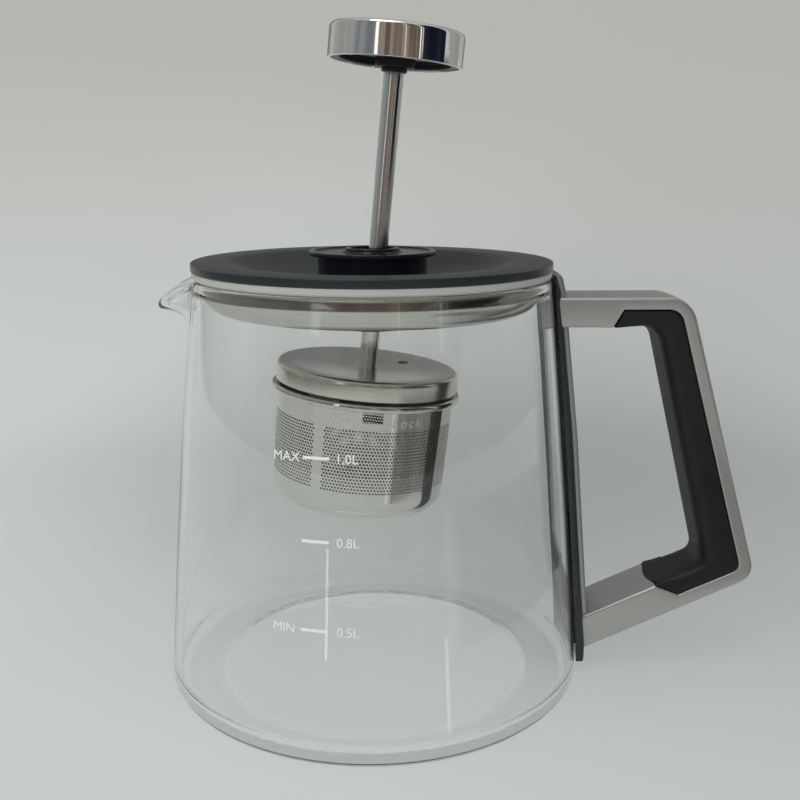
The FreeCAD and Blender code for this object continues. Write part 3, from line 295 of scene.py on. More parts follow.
def polar(radius, azimuth, height):
    """Points at a radius, an azimuth and a height: (r cos a, r sin a, z)."""
    radius, azimuth, height = np.broadcast_arrays(radius, azimuth, height)
    return np.stack([radius * np.cos(azimuth), radius * np.sin(azimuth), height], -1)


def along_rod(points):
    """Turns points from the rod's own frame into the object's.

    The rod's frame has its origin at the pivot and Z along the rod, so a point moves to
    the pivot plus x times the leaning X, y times Y and z times the rod's axis.
    """
    lean_x = np.array([math.cos(LEAN), 0.0, -math.sin(LEAN)])
    basis = np.stack([lean_x, [0.0, 1.0, 0.0], ROD_AXIS])
    return points @ basis + PIVOT


# ---------------------------------------------------------------- meshes

def add_object(name, data):
    """A new object with the given data, linked into the scene."""
    item = bpy.data.objects.new(name, data)
    bpy.context.scene.collection.objects.link(item)
    return item


def volume_of(points, faces):
    """Signed volume: the sum over fan triangles of p0 . (p1 x p2) / 6."""
    total = 0.0
    for block in faces:
        for corner in range(1, block.shape[1] - 1):
            p0, p1, p2 = (points[block[:, k]] for k in (0, corner, corner + 1))
            total += np.einsum("ij,ij->", p0, np.cross(p1, p2)) / 6
    return total


def solid(name, points, faces):
    """A mesh object from points and blocks of faces, one block per number of corners.

    The faces are turned round together if their signed volume is negative, so that they
    point outwards.
    """
    if volume_of(points, faces) < 0:
        faces = [block[:, ::-1] for block in faces]
    mesh = bpy.data.meshes.new(name)
    mesh.vertices.add(len(points))
    mesh.vertices.foreach_set("co", np.asarray(points, np.float32).ravel())
    corners = np.concatenate([block.ravel() for block in faces]).astype(np.int32)
    sizes = np.concatenate([np.full(len(block), block.shape[1]) for block in faces])
    starts = np.concatenate([[0], np.cumsum(sizes)[:-1]]).astype(np.int32)
    mesh.loops.add(len(corners))
    mesh.loops.foreach_set("vertex_index", corners)
    mesh.polygons.add(len(sizes))
    mesh.polygons.foreach_set("loop_start", starts)
    mesh.update(calc_edges=True)
    mesh.validate()
    mesh.set_sharp_from_angle(angle=SHARP_ANGLE)
    return add_object(name, mesh)


def grid_faces(rows, columns, closed_rows=False):
    """Quads over a grid whose columns close into a ring, and its rows too if asked."""
    row = np.arange(rows if closed_rows else rows - 1)[:, None]
    column = np.arange(columns)[None, :]
    after, beside = (row + 1) % rows, (column + 1) % columns
    quad = np.stack(np.broadcast_arrays(
        row * columns + column, row * columns + beside,
        after * columns + beside, after * columns + column), -1)
    return quad.reshape(-1, 4)


def fan_faces(row_start, columns, middle, flip):
    """Triangles from a ring of points to a middle point."""
    column = np.arange(columns)
    beside = (column + 1) % columns
    fan = np.stack([row_start + column, row_start + beside, np.full(columns, middle)], -1)
    return fan[:, ::-1] if flip else fan


def tube(name, grid, ends=None):
    """A closed skin over rows x columns x 3 points; columns close into rings.

    With ends, the first and the last ring close to a middle point each. Without, the last
    row joins the first one, as on a ring.
    """
    rows, columns = grid.shape[:2]
    points = grid.reshape(-1, 3)
    faces = [grid_faces(rows, columns, closed_rows=ends is None)]
    if ends is not None:
        count = len(points)
        points = np.concatenate([points, np.asarray(ends, float)])
        faces.append(np.concatenate([
            fan_faces(0, columns, count, True),
            fan_faces((rows - 1) * columns, columns, count + 1, False)]))
    return solid(name, points, faces)


def turned(name, line, columns=192, place=None):
    """Turns an outline of (radius, height) once round Z.

    A point is (r cos a, r sin a, z) for its column's angle a. An outline that starts and
    ends on the axis closes in two poles; any other is a closed loop and makes a ring.
    """
    on_axis = line[0, 0] < SAME_POINT and line[-1, 0] < SAME_POINT
    ring = line[1:-1] if on_axis else line
    azimuth = np.linspace(0, 2 * np.pi, columns, endpoint=False)
    grid = polar(ring[:, None, 0], azimuth[None, :], ring[:, None, 1])
    ends = np.array([[0, 0, line[0, 1]], [0, 0, line[-1, 1]]]) if on_axis else None
    if place is not None:
        grid = place(grid)
        ends = place(ends) if on_axis else None
    return tube(name, grid, ends)


def block_section(depth, width, inner_round, outer_round, crown, steps=6):
    """Sections of a bar: rounded rectangles, one per station.

    In a section, a runs from -depth / 2 on the inner side to depth / 2 on the outer side
    and b from -width / 2 to width / 2. Corner points are the corner circle's centre plus
    the radius times (cos, sin) of evenly spaced angles. The outer half sinks by
    crown * (2 b / width) ^ 2. The inputs are arrays of one value per station.
    """
    depth, width, inner_round, outer_round, crown = (
        np.asarray(value, float).reshape(-1, 1)
        for value in np.broadcast_arrays(depth, width, inner_round, outer_round, crown))
    fit = np.minimum(depth, width) / 2 * 0.96
    parts = []
    for a_side, b_side, start in ((1, 1, 0.0), (-1, 1, 0.5), (-1, -1, 1.0), (1, -1, 1.5)):
        radius = np.minimum(outer_round if a_side > 0 else inner_round, fit)
        theta = (start + np.linspace(0, 0.5, steps)[None, :]) * np.pi
        a = a_side * (depth / 2 - radius) + radius * np.cos(theta)
        b = b_side * (width / 2 - radius) + radius * np.sin(theta)
        parts.append(np.stack([a, b], -1))
    inner_flat = np.linspace(1, -1, 7)[1:-1][None, :] * (width / 2 - inner_round)
    outer_flat = np.linspace(-1, 1, 11)[1:-1][None, :] * (width / 2 - outer_round)
    parts.insert(2, np.stack([np.broadcast_to(-depth / 2, inner_flat.shape), inner_flat], -1))
    parts.append(np.stack([np.broadcast_to(depth / 2, outer_flat.shape), outer_flat], -1))
    section = np.concatenate(parts, 1)
    sink = crown * (2 * section[..., 1] / width) ** 2
    section[..., 0] -= np.where(section[..., 0] > 0, sink, 0)
    return section[..., 0], section[..., 1]


def resample(line, count):
    """A polyline of 2-D points at evenly spaced distances along it."""
    run = np.concatenate([[0], np.cumsum(np.linalg.norm(np.diff(line, axis=0), axis=1))])
    at = np.linspace(0, run[-1], count)
    return np.stack([np.interp(at, run, line[:, k]) for k in (0, 1)], -1)


def stations(corners):
    """Rounded corners with points added along the straight runs between their arcs."""
    arcs = rounded(corners, ARC_POINTS, closed=False)
    share_of_run = (np.arange(1, RUN_POINTS + 1) / (RUN_POINTS + 1))[None, :, None]
    between = arcs[:-1, -1:] + (arcs[1:, :1] - arcs[:-1, -1:]) * share_of_run
    joined = np.concatenate([arcs[:-1], between], 1).reshape(-1, 2)
    return np.concatenate([joined, arcs[-1]])


def station_of(corner, point=0):
    """The row of a point on a corner's arc, in the result of stations."""
    return corner * (ARC_POINTS + RUN_POINTS) + point


# ---------------------------------------------------------------- finishes

class Signal:
    """A shader output whose Python operators add Math nodes."""

    def __init__(self, finish, socket):
        self.finish = finish
        self.socket = socket

    def math(self, operation, first, second=0.0):
        return self.finish.add("ShaderNodeMath", {"operation": operation}, {0: first, 1: second})

    def __add__(self, other):
        return self.math("ADD", self, other)

    def __radd__(self, other):
        return self.math("ADD", other, self)

    def __sub__(self, other):
        return self.math("SUBTRACT", self, other)

    def __rsub__(self, other):
        return self.math("SUBTRACT", other, self)

    def __mul__(self, other):
        return self.math("MULTIPLY", self, other)

    def __pow__(self, other):
        return self.math("POWER", self, other)

    def above(self, level, softness):
        """0 below a level and 1 above it, with a soft step between."""
        return self.finish.add(
            "ShaderNodeMapRange", {"interpolation_type": "SMOOTHSTEP"},
            {"Value": self, "From Min": level - softness, "From Max": level + softness})


class Finish:
    """A material and the nodes that make it."""

    MIX_A, MIX_B, MIX_RESULT = 6, 7, 2

    def __init__(self, name):
        self.material = bpy.data.materials.new(name)
        self.material.use_nodes = True
        self.tree = self.material.node_tree
        self.tree.nodes.clear()

    def add(self, kind, settings=None, inputs=None, output=0):
        """Adds a node: settings first, then each socket's value or link. Returns an output."""
        node = self.tree.nodes.new(kind)
        for key, value in (settings or {}).items():
            setattr(node, key, value)
        for key, value in (inputs or {}).items():
            if isinstance(value, Signal):
                self.tree.links.new(value.socket, node.inputs[key])
            else:
                node.inputs[key].default_value = value
        return Signal(self, node.outputs[output])

    def place(self, leaning=False, stretch=(1.0, 1.0, 1.0)):
        """Object coordinates, in the rod's frame if leaning, stretched along each axis."""
        here = self.add("ShaderNodeTexCoord", output="Object")
        if leaning:
            here = self.add("ShaderNodeMapping", {"vector_type": "TEXTURE"},
                            {"Vector": here, "Location": tuple(PIVOT), "Rotation": (0, LEAN, 0)})
        if stretch != (1.0, 1.0, 1.0):
            here = self.add("ShaderNodeMapping", {}, {"Vector": here, "Scale": stretch})
        return here

    def noise(self, where, scale, detail=2.0, roughness=0.5):
        return self.add("ShaderNodeTexNoise", {}, {
            "Vector": where, "Scale": scale, "Detail": detail, "Roughness": roughness})

    def split(self, where):
        """The X, Y and Z of a vector."""
        node = self.add("ShaderNodeSeparateXYZ", {}, {0: where}).socket.node
        return [Signal(self, socket) for socket in node.outputs]

    def height(self):
        """The Z of Object coordinates."""
        return self.split(self.place())[2]

    def rings(self, leaning=False):
        """Lines turned round the axis: noise read at (radius, height) only, broken up slowly."""
        here = self.place(leaning)
        x, y, z = self.split(here)
        radius = (x * x + y * y) ** 0.5
        patch = self.noise(here, 24.0, 1.0) * 0.0006
        where = self.add("ShaderNodeCombineXYZ", {}, {0: radius + patch, 1: z + patch})
        return self.noise(where, 2600.0, 3.0, 0.6)

    def mix(self, factor, first, second):
        return self.add("ShaderNodeMix", {"data_type": "RGBA"},
                        {0: factor, self.MIX_A: first, self.MIX_B: second}, self.MIX_RESULT)

    def bump(self, height, distance):
        return self.add("ShaderNodeBump", {}, {"Height": height, "Distance": distance,
                                               "Strength": 1.0})

    def principled(self, **inputs):
        """A Principled shader; words in a name are joined by underscores."""
        sockets = {key.replace("_", " "): value for key, value in inputs.items()}
        return self.add("ShaderNodeBsdfPrincipled", {}, sockets)

    def shade(self, **inputs):
        """Ends the tree in a Principled shader."""
        return self.finished(self.principled(**inputs))

    def finished(self, shader):
        node = self.tree.nodes.new("ShaderNodeOutputMaterial")
        self.tree.links.new(shader.socket, node.inputs["Surface"])
        return self.material

    def rays(self, *names):
        """1 for rays of any of these kinds, else 0."""
        first, *others = (self.add("ShaderNodeLightPath", output=name) for name in names)
        for other in others:
            first = first.math("MAXIMUM", first, other)
        return first

    def blend(self, factor, first, second):
        """A Mix Shader: the first shader where the factor is 0, the second where it is 1."""
        return self.add("ShaderNodeMixShader", {}, {0: factor, 1: first, 2: second})


def rgba(values, factor=1.0):
    return tuple(min(1.0, value * factor) for value in values) + (1.0,)


def clear_glass(colours):
    """Blown glass: clear with a faint slow ripple, and ground matt on its foot.

    Light from the lamps passes it.
    """
    finish = Finish("clear_glass")
    ripple = finish.noise(finish.place(stretch=(1.0, 1.0, 0.35)), 55.0, 1.0)
    ground = 1.0 - finish.height().above(0.22 * MM, 0.15 * MM)
    glass = finish.principled(
        Base_Color=rgba(colours.glass), Transmission_Weight=1.0, IOR=1.47,
        Roughness=ground * 0.45, Normal=finish.bump(ripple, 0.00006))
    matt = finish.add("ShaderNodeBsdfDiffuse", {}, {"Color": (0.88, 0.94, 0.91, 1.0)})
    glass = finish.blend(ground * 0.5, glass, matt)
    passed = finish.add("ShaderNodeBsdfTransparent", {}, {"Color": rgba(colours.glass, 0.97)})
    return finish.finished(
        finish.blend(finish.rays("Is Shadow Ray", "Is Diffuse Ray"), glass, passed))


def print_ink(colours):
    """Fired white print, a little uneven."""
    finish = Finish("print_ink")
    patches = finish.noise(finish.place(), 900.0)
    tone = finish.mix(patches, rgba(colours.print_white), rgba(colours.print_white, 0.86))
    return finish.shade(Base_Color=tone, Roughness=0.45 + patches * 0.2)


def satin_silver(name, tone):
    """Satin silver: fine metal flakes, blasted matt, with slow patches of wear."""
    finish = Finish(name)
    here = finish.place()
    flakes = finish.noise(here, 4200.0, 2.0)
    clouds = finish.noise(here, 60.0, 2.0)
    shade = finish.mix(flakes, rgba(tone, 0.86), rgba(tone, 1.14))
    return finish.shade(
        Base_Color=shade, Metallic=0.78, Roughness=0.30 + clouds * 0.05 + flakes * 0.06,
        Normal=finish.bump(flakes, 0.00001))


def moulded_plastic(name, tone, gloss):
    """Moulded plastic: fine spark-eroded grain with slow patches of wear."""
    finish = Finish(name)
    here = finish.place()
    fine = finish.noise(here, 3200.0, 2.0)
    wear = finish.noise(here, 45.0, 3.0)
    shade = finish.mix(wear, rgba(tone, 0.88), rgba(tone, 1.2))
    return finish.shade(
        Base_Color=shade, Roughness=gloss + wear * 0.10 + fine * 0.05,
        Specular_IOR_Level=0.35, Normal=finish.bump(fine, 0.000012))


def polished_black(name, tone, gloss, sheen=0.5):
    """Polished plastic: faint hairline scratches and a slow unevenness."""
    finish = Finish(name)
    here = finish.place(stretch=(1.0, 0.03, 1.0))
    hairs = finish.noise(here, 2600.0, 2.0).above(0.68, 0.08)
    slow = finish.noise(finish.place(), 30.0, 2.0)
    return finish.shade(
        Base_Color=finish.mix(slow, rgba(tone, 0.92), rgba(tone, 1.12)),
        Roughness=gloss + hairs * 0.04 + slow * 0.05, Specular_IOR_Level=sheen,
        Normal=finish.bump(slow, 0.00002))


def etched(name, tone):
    """Lettering etched matt into bright steel."""
    finish = Finish(name)
    grain = finish.noise(finish.place(), 5000.0)
    return finish.shade(Base_Color=finish.mix(grain, rgba(tone, 0.9), rgba(tone, 1.1)),
                        Metallic=0.3, Roughness=0.5 + grain * 0.1)


def silicone(colours):
    """Pale translucent silicone."""
    finish = Finish("silicone")
    slow = finish.noise(finish.place(), 120.0, 2.0)
    tone = finish.mix(slow, rgba(colours.seal, 0.95), rgba(colours.seal, 1.03))
    return finish.shade(Base_Color=tone, Roughness=0.42 + slow * 0.12,
                        Subsurface_Weight=0.35, Subsurface_Radius=(0.002, 0.002, 0.002))


def turned_steel(name, tone, rough, leaning=False, painted_reflection=None, painted_reflection_above=0.0):
    """Stainless steel finished on a lathe: fine lines round the axis.

    Given the tone of a painted reflection and a height, the steel above that height takes that tone:
    a painted dark reflection of the room, not steel left dark.
    """
    finish = Finish(name)
    lines = finish.rings(leaning)
    clouds = finish.noise(finish.place(), 40.0, 2.0)
    surface = finish.mix(lines, rgba(tone, 0.90), rgba(tone, 1.08))
    # Painted reflection: above the height the steel takes the dark tone of the room it would mirror.
    if painted_reflection is not None:
        surface = finish.mix(finish.height().above(painted_reflection_above, 0.3 * MM), surface, rgba(painted_reflection))
    return finish.shade(
        Base_Color=surface, Metallic=1.0, Roughness=rough + lines * 0.07 + clouds * 0.03,
        Normal=finish.bump(lines, 0.000006))


def brushed_steel(name, tone, rough):
    """Steel sheet brushed one way: noise stretched sixty times along X."""
    finish = Finish(name)
    lines = finish.noise(finish.place(True, (40.0, 2400.0, 2400.0)), 1.0, 3.0, 0.6)
    clouds = finish.noise(finish.place(), 50.0, 2.0)
    return finish.shade(
        Base_Color=finish.mix(lines, rgba(tone, 0.80), rgba(tone, 1.12)), Metallic=1.0,
        Roughness=rough + lines * 0.12 + clouds * 0.05, Normal=finish.bump(lines, 0.000008))


def bright_chrome(name, tone, rough):
    """Polished chrome with faint wiping marks."""
    finish = Finish(name)
    marks = finish.noise(finish.place(True, (30.0, 30.0, 900.0)), 1.0, 2.0)
    return finish.shade(
        Base_Color=finish.mix(marks, rgba(tone, 0.98), rgba(tone, 1.02)), Metallic=1.0,
        Roughness=rough + marks * 0.03)


def room_surface(colours, glow):
    """Board: cooler on the floor, with painted shade to the right and a painted shadow behind.

    Seen straight or in gloss it keeps part of its tone without any light. The painted shadow
    behind fades with the distance from a point on the floor, and a painted pool of light makes
    the floor palest under the jug.
    """
    finish = Finish("room_surface")
    here = finish.place()
    slow = finish.noise(here, 6.0, 3.0) * 0.06
    x, y, height = finish.split(here)
    shade_x, shade_y = x - 0.08, y - 0.22
    from_shade = (shade_x * shade_x + shade_y * shade_y) ** 0.5
    from_jug = (x * x + y * y) ** 0.5
    # Painted shade: the floor darkens towards the right.
    tone = finish.mix((x + slow).above(0.14, 0.16), rgba(colours.floor),
                      rgba(colours.floor, 0.84))
    # Painted shadow: a soft dark patch on the floor behind the jug.
    tone = finish.mix((from_shade + slow).above(0.22, 0.14), rgba(colours.floor, 0.60), tone)
    # Painted light: the floor is a little paler under the jug.
    tone = finish.mix(from_jug.above(0.055, 0.01), rgba(colours.floor, 1.03), tone)
    tone = finish.mix((height + slow).above(0.16, 0.15), tone, rgba(colours.backdrop))
    lit = finish.add("ShaderNodeBsdfDiffuse", {}, {"Color": tone})
    own = finish.add("ShaderNodeEmission", {}, {"Color": tone})
    seen = finish.rays("Is Camera Ray", "Is Glossy Ray", "Is Transmission Ray")
    return finish.finished(finish.blend(seen * glow, lit, own))


def card_surface(name, dark, light, fineness=8.0, strength=1.0, fade=2.0):
    """A card that only reflections see: upright streaks between two tones.

    Above the height of the fade it takes the tone of the room behind it.
    """
    finish = Finish(name)
    streaks = finish.noise(finish.place(stretch=(fineness, fineness, fineness / 40)), 1.0, 2.0)
    tone = finish.mix(streaks.above(0.5, 0.09), rgba(dark), rgba(light))
    tone = finish.mix(finish.height().above(fade, 0.04), tone, rgba((0.56, 0.56, 0.57)))
    return finish.finished(
        finish.add("ShaderNodeEmission", {}, {"Color": tone, "Strength": strength}))


def dress(piece, material, body, replaces=()):
    """Gives a new piece its finish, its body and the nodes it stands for."""
    piece.data.materials.append(material)
    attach(piece, body)
    if replaces:
        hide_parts(*replaces)


def paint_node(name, material):
    """Gives a node of the construction model a finish."""
    node = frame["nodes"][name]
    node.data.materials.clear()
    node.data.materials.append(material)


# ---------------------------------------------------------------- the jug

def wall_radius(glass, level):
    """Outer radius of the glass at a height.

    Above the belly it runs straight to the rim plus 4 * bow * s * (1 - s) for the share s
    of the way; below the belly it widens evenly down to the heel.
    """
    rim_level = glass.height - MM
    s = np.clip((level - glass.belly_height) / (rim_level - glass.belly_height), 0, 1)
    above = glass.belly_radius + (glass.rim_radius - glass.belly_radius) * s
    slope = (glass.widest - glass.belly_radius) / (glass.belly_height - glass.heel)
    return above + 4 * glass.bow * s * (1 - s) + slope * np.maximum(glass.belly_height - level, 0)


def wall_thickness(glass, level):
    """Thickness of the glass: the wall's, growing smoothly to the rim's over the neck."""
    share_of_neck = np.clip((level - (glass.height - glass.neck)) / glass.neck, 0, 1)
    growth = share_of_neck ** 2 * (3 - 2 * share_of_neck)
    return glass.wall + (glass.rim_width - glass.wall) * growth


def wall_start(glass):
    """Height where the wall's outer side starts, just above the heel's round."""
    return glass.heel * 1.1


def base_outline(glass):
    """The outline (radius, height) of the underside, from its middle to the wall's start."""
    start = wall_start(glass)
    return distinct(rounded([
        (0.0, glass.kick, 0.0), (glass.foot_inner - 4 * MM, glass.kick, 3 * MM),
        (glass.foot_inner, 0.0, 3 * MM), (float(wall_radius(glass, 0.0)), 0.0, glass.heel),
        (float(wall_radius(glass, start)), start, 0.0)], 14, closed=False))


def floor_outline(glass, start):
    """The outline of the floor's upper side, from the wall's inner side to its middle."""
    inside = float(wall_radius(glass, glass.floor)) - glass.wall
    low = float(wall_radius(glass, start)) - glass.wall
    return distinct(rounded([
        (low, start, 0.0), (inside, glass.floor, glass.floor_corner), (0.0, glass.floor, 0.0)],
        14, closed=False))


def spout_middle(glass, azimuth, level, drawn=True):
    """The middle of the wall's thickness, drawn out and down round the spout.

    At the share h of the height between the spout's start and the rim, and at the angle f
    from the middle of the spout, it moves out by reach * w * h^2 and down by
    droop * w^2 * h^1.6, with w = (1 - (f / half width)^2)^2.
    """
    end = glass.height - glass.rim_round
    w = np.clip(1 - ((np.pi - np.abs(azimuth)) / glass.spout_half) ** 2, 0, 1) ** 2 * drawn
    h = np.clip((level - glass.spout_low) / (end - glass.spout_low), 0, 1.2)
    radius = wall_radius(glass, level) - wall_thickness(glass, level) / 2
    return polar(radius + glass.spout_reach * w * h ** 2, azimuth,
                 level - glass.spout_droop * w ** 2 * h ** 1.6)


def unit(vectors):
    return vectors / np.linalg.norm(vectors, axis=-1, keepdims=True)


def wall_frame(glass, azimuth, level, drawn):
    """The wall's middle with its upward and outward directions, by central differences."""
    small = 1e-5
    up = unit(spout_middle(glass, azimuth, level + small, drawn)
              - spout_middle(glass, azimuth, level - small, drawn))
    round_jug = unit(spout_middle(glass, azimuth + small, level, drawn)
                     - spout_middle(glass, azimuth - small, level, drawn))
    return spout_middle(glass, azimuth, level, drawn), up, unit(np.cross(round_jug, up))


class TEAJUG_OT_glass(Operator):
    """Blows the tapered jug and draws its lip out and down into a spout.

    The wall is the middle surface plus, on each side, half its thickness along the outward
    direction; at the rim a half circle of the rim's round joins the sides. The underside
    and the floor are turned round Z and close the wall at its lower end.
    """
    bl_idname = "tea_jug.glass"
    bl_label = "Glass jug"

    def execute(self, context):
        glass = context.scene.tea_jug_glass
        azimuth = np.linspace(-np.pi, np.pi, glass.columns, endpoint=False)[None, :]
        base = base_outline(glass)
        start, end = wall_start(glass), glass.height - glass.rim_round
        levels = np.concatenate([np.linspace(start, 104 * MM, 30),
                                 np.linspace(105 * MM, end, 44)])[:, None]
        middle, _, out = wall_frame(glass, azimuth, levels, True)
        half = (wall_thickness(glass, levels) / 2)[..., None]
        outer, inner = middle + out * half, (middle - out * half)[::-1]
        theta = np.linspace(0, np.pi, 11)[1:-1, None]
        tip, up, side = wall_frame(glass, azimuth, np.full_like(theta, end), True)
        top_half = float(wall_thickness(glass, end)) / 2
        rim = (tip + side * (top_half * np.cos(theta))[..., None]
               + up * (glass.rim_round * np.sin(theta))[..., None])
        inside_start = glass.floor + glass.floor_corner * 1.1
        inner = inner[: int(np.sum(levels > inside_start + 1.5 * MM))]
        floor = floor_outline(glass, inside_start)
        under = polar(base[1:-1, None, 0], azimuth, base[1:-1, None, 1])
        bottom = polar(floor[:-1, None, 0], azimuth, floor[:-1, None, 1])
        grid = np.concatenate([under, outer, rim, inner, bottom])
        piece = tube("jug_glass", grid, [[0, 0, base[0, 1]], [0, 0, floor[-1, 1]]])
        dress(piece, clear_glass(context.scene.tea_jug_colours), "jug", ["glass_jug"])
        return {"FINISHED"}


def wrap_on_wall(glass, points, azimuth, level, ink):
    """Wraps flat print on the wall: x runs round it, y up it and z out of it."""
    height = level + points[:, 1]
    radius = wall_radius(glass, height)
    turn = azimuth - points[:, 0] / radius
    out = radius + PRINT_GAP + np.clip(points[:, 2], 0, ink)
    return np.stack([-out * np.sin(turn), -out * np.cos(turn), height], -1)


def lettering(name, text, letter, ink, spread=1.0, slant=0.0):
    """Flat raised letters as a mesh and its points, centred on the origin, in metres."""
    curve = bpy.data.curves.new(name, "FONT")
    curve.body = text
    curve.space_character, curve.shear = spread, slant
    curve.extrude = 0.5
    curve.resolution_u = 4
    flat = add_object(name + "_curve", curve)
    bpy.context.view_layer.update()
    mesh = bpy.data.meshes.new_from_object(
        flat.evaluated_get(bpy.context.evaluated_depsgraph_get()))
    bpy.data.objects.remove(flat)
    points = np.zeros(len(mesh.vertices) * 3, np.float32)
    mesh.vertices.foreach_get("co", points)
    points = points.reshape(-1, 3).astype(float)
    low, high = points.min(0), points.max(0)
    points[:, :2] = (points[:, :2] - (low[:2] + high[:2]) / 2) * letter / (high[1] - low[1])
    points[:, 2] = (points[:, 2] + 0.5) * ink
    return mesh, points


def placed_text(name, mesh, points, material, body):
    """Gives a text mesh its final points and its finish."""
    mesh.vertices.foreach_set("co", points.astype(np.float32).ravel())
    mesh.update()
    mesh.materials.clear()
    dress(add_object(name, mesh), material, body)


class TEAJUG_OT_marks(Operator):
    """Prints the level marks: a line, its volume and a word at the ends of the scale.

    Print is flat and is wrapped on the wall: x / radius is taken from its azimuth, and y
    is added to its height.
    """
    bl_idname = "tea_jug.marks"
    bl_label = "Level marks"

    def execute(self, context):
        glass, marks = context.scene.tea_jug_glass, context.scene.tea_jug_marks
        ink = print_ink(context.scene.tea_jug_colours)
        rows = (("full", marks.high, "MAX", "1.0L"), ("middle", marks.middle, "", "0.8L"),
                ("low", marks.low, "MIN", "0.5L"))
        for name, level, word, number in rows:
            for side, text, azimuth in (("word", word, marks.word),
                                        ("number", number, marks.number)):
                if not text:
                    continue
                mesh, points = lettering("mark", text, marks.letter, marks.ink)
                points = wrap_on_wall(glass, points, azimuth, level, marks.ink)
                placed_text("mark_%s_%s" % (name, side), mesh, points, ink, "jug")
            self.dash(context, glass, marks, name, level, ink)
        return {"FINISHED"}

    def dash(self, context, glass, marks, name, level, ink):
        """A mark's line: a flat bar with twelve stations."""
        middle = (marks.dash_start + marks.dash_end) / 2
        reach = (marks.dash_start - marks.dash_end) / 2 * wall_radius(glass, level)
        x = np.linspace(-reach, reach, 12)
        half = marks.dash / 2
        y, z = np.array([-half, half, half, -half]), np.array([0, 0, marks.ink, marks.ink])
        flat = np.stack(np.broadcast_arrays(x[:, None], y[None, :], z[None, :]), -1)
        points = wrap_on_wall(glass, flat.reshape(-1, 3), middle, level, marks.ink)
        grid = points.reshape(flat.shape)
        piece = tube("mark_%s_line" % name, grid, [grid[0].mean(0), grid[-1].mean(0)])
        dress(piece, ink, "jug")


# ---------------------------------------------------------------- the handle

def strip_curves():
    """Inner and outer curves (radius, height) of the strip, from its lower end up."""
    inner = outline([(67.75, 3.4, 0), (67.65, 6.0, 3), (67.5, 10.0, 3), (65.9, 30.0, 60),
                     (61.6, 80.0, 300), (56.5, 129.8, 0.5), (56.5, 130.6, 0)], 8, False)
    outer = outline([(70.1, 3.4, 0), (70.3, 5.4, 2), (70.3, 10.0, 5), (68.2, 30.0, 60),
                     (63.75, 80.0, 300), (58.3, 126.4, 6.0), (56.9, 130.6, 0)], 8, False)
    return inner, outer


def wrapped_bar(name, inner, outer, count, half_angle, edge, end_round):
    """A bar that lies on the jug, wrapped round it.

    The inner and outer curves are read at the same shares of their length. A section's b
    runs round the jug: the azimuth is b / radius. Towards both ends the section shrinks
    about its middle by sqrt(1 - t^2), t being the share of the end round.
    """
    low, high = resample(inner, count), resample(outer, count)
    middle, across = (low + high) / 2, high - low
    depth = np.linalg.norm(across, axis=1)
    width = 2 * half_angle * middle[:, 0]
    run = np.linspace(0, 1, count) * np.linalg.norm(middle[-1] - middle[0])
    left = np.clip(1 - np.minimum(run, run[-1] - run) / end_round, 0, 0.97)
    shrink = np.sqrt(1 - left ** 2)[:, None]
    a, b = block_section(depth, width, 0.3 * MM, edge, 0.0)
    a, b = a * shrink, b * (1 - (1 - shrink) * 0.25)
    spot = middle[:, None, :] + (across / depth[:, None])[:, None, :] * a[..., None]
    grid = polar(spot[..., 0], b / spot[..., 0], spot[..., 1])
    return tube(name, grid, [grid[0].mean(0), grid[-1].mean(0)])


class TEAJUG_OT_strip(Operator):
    """Moulds the black strip on the glass and presses the spine that lies behind it.

    Both are bars that follow the wall's curve and are wrapped round the jug.
    """
    bl_idname = "tea_jug.strip"
    bl_label = "Strip and spine"

    def execute(self, context):
        handle, colours = context.scene.tea_jug_handle, context.scene.tea_jug_colours
        inner, outer = strip_curves()
        strip = wrapped_bar("strip", inner, outer, 160, handle.strip_half, 0.9 * MM, 0.9 * MM)
        dress(strip, polished_black("strip_black", colours.strip, 0.25), "jug",
              ["handle_bracket"])
        back = outline([(70.35, 8.5, 0), (70.32, 10.0, 5), (68.22, 30.0, 60), (63.8, 80.0, 300),
                        (58.32, 126.6, 6.0), (56.95, 130.8, 0.2), (56.95, 132.3, 0)], 8, False)
        front = outline([(72.1, 8.5, 0), (72.1, 10.0, 5), (70.0, 30.0, 60), (65.55, 80.0, 300),
                         (60.0, 127.0, 6.0), (59.0, 131.2, 2.5), (57.6, 132.4, 0)], 8, False)
        spine = wrapped_bar("spine", back, front, 160, handle.spine_half, 0.7 * MM, 0.6 * MM)
        dress(spine, satin_silver("spine_silver", colours.spine), "jug", ["handle_spine"])
        return {"FINISHED"}


# Corners (x, height, round) in millimetres of the frame and the grip, from the upper
# arm's root round to the lower arm's root. Each inner corner faces an outer one.
FRAME_INNER = [(57.4, 115.8, 0), (74.3, 115.8, 0.4), (77.4, 121.3, 0.8), (95.3, 121.3, 5.0),
               (120.2, 35.4, 3.0), (100.1, 26.6, 0.8), (92.3, 29.8, 0.4), (68.4, 19.15, 0)]
FRAME_OUTER_TOP = [(57.4, 125.3, 0), (74.3, 125.3, 0), (77.4, 125.3, 0), (98.6, 125.3, 9.5)]
FRAME_TOE = (125.6, 32.5, 6.0)
UNDERSIDE_ROOT = (68.4, 7.05)
GRIP_OUTER = [(74.9, 115.8, 0.3), (77.7, 120.9, 0.8), (95.0, 120.9, 4.7), (119.8, 35.5, 2.8),
              (100.1, 27.0, 0.8), (93.0, 29.9, 0.3)]
GRIP_INNER = [(76.2, 115.75, 0.5), (80.0, 115.75, 0.2), (88.9, 115.75, 7.0),
              (108.6, 37.05, 4.5), (99.0, 32.85, 0.2), (93.9, 30.75, 0.6)]


def foot_on_underside(x, level):
    """The foot of a perpendicular from a point to the frame's underside."""
    toe, root = np.array(FRAME_TOE[:2]), np.array(UNDERSIDE_ROOT)
    along = (root - toe) / np.linalg.norm(root - toe)
    return toe + along * np.dot(np.array([x, level]) - toe, along)


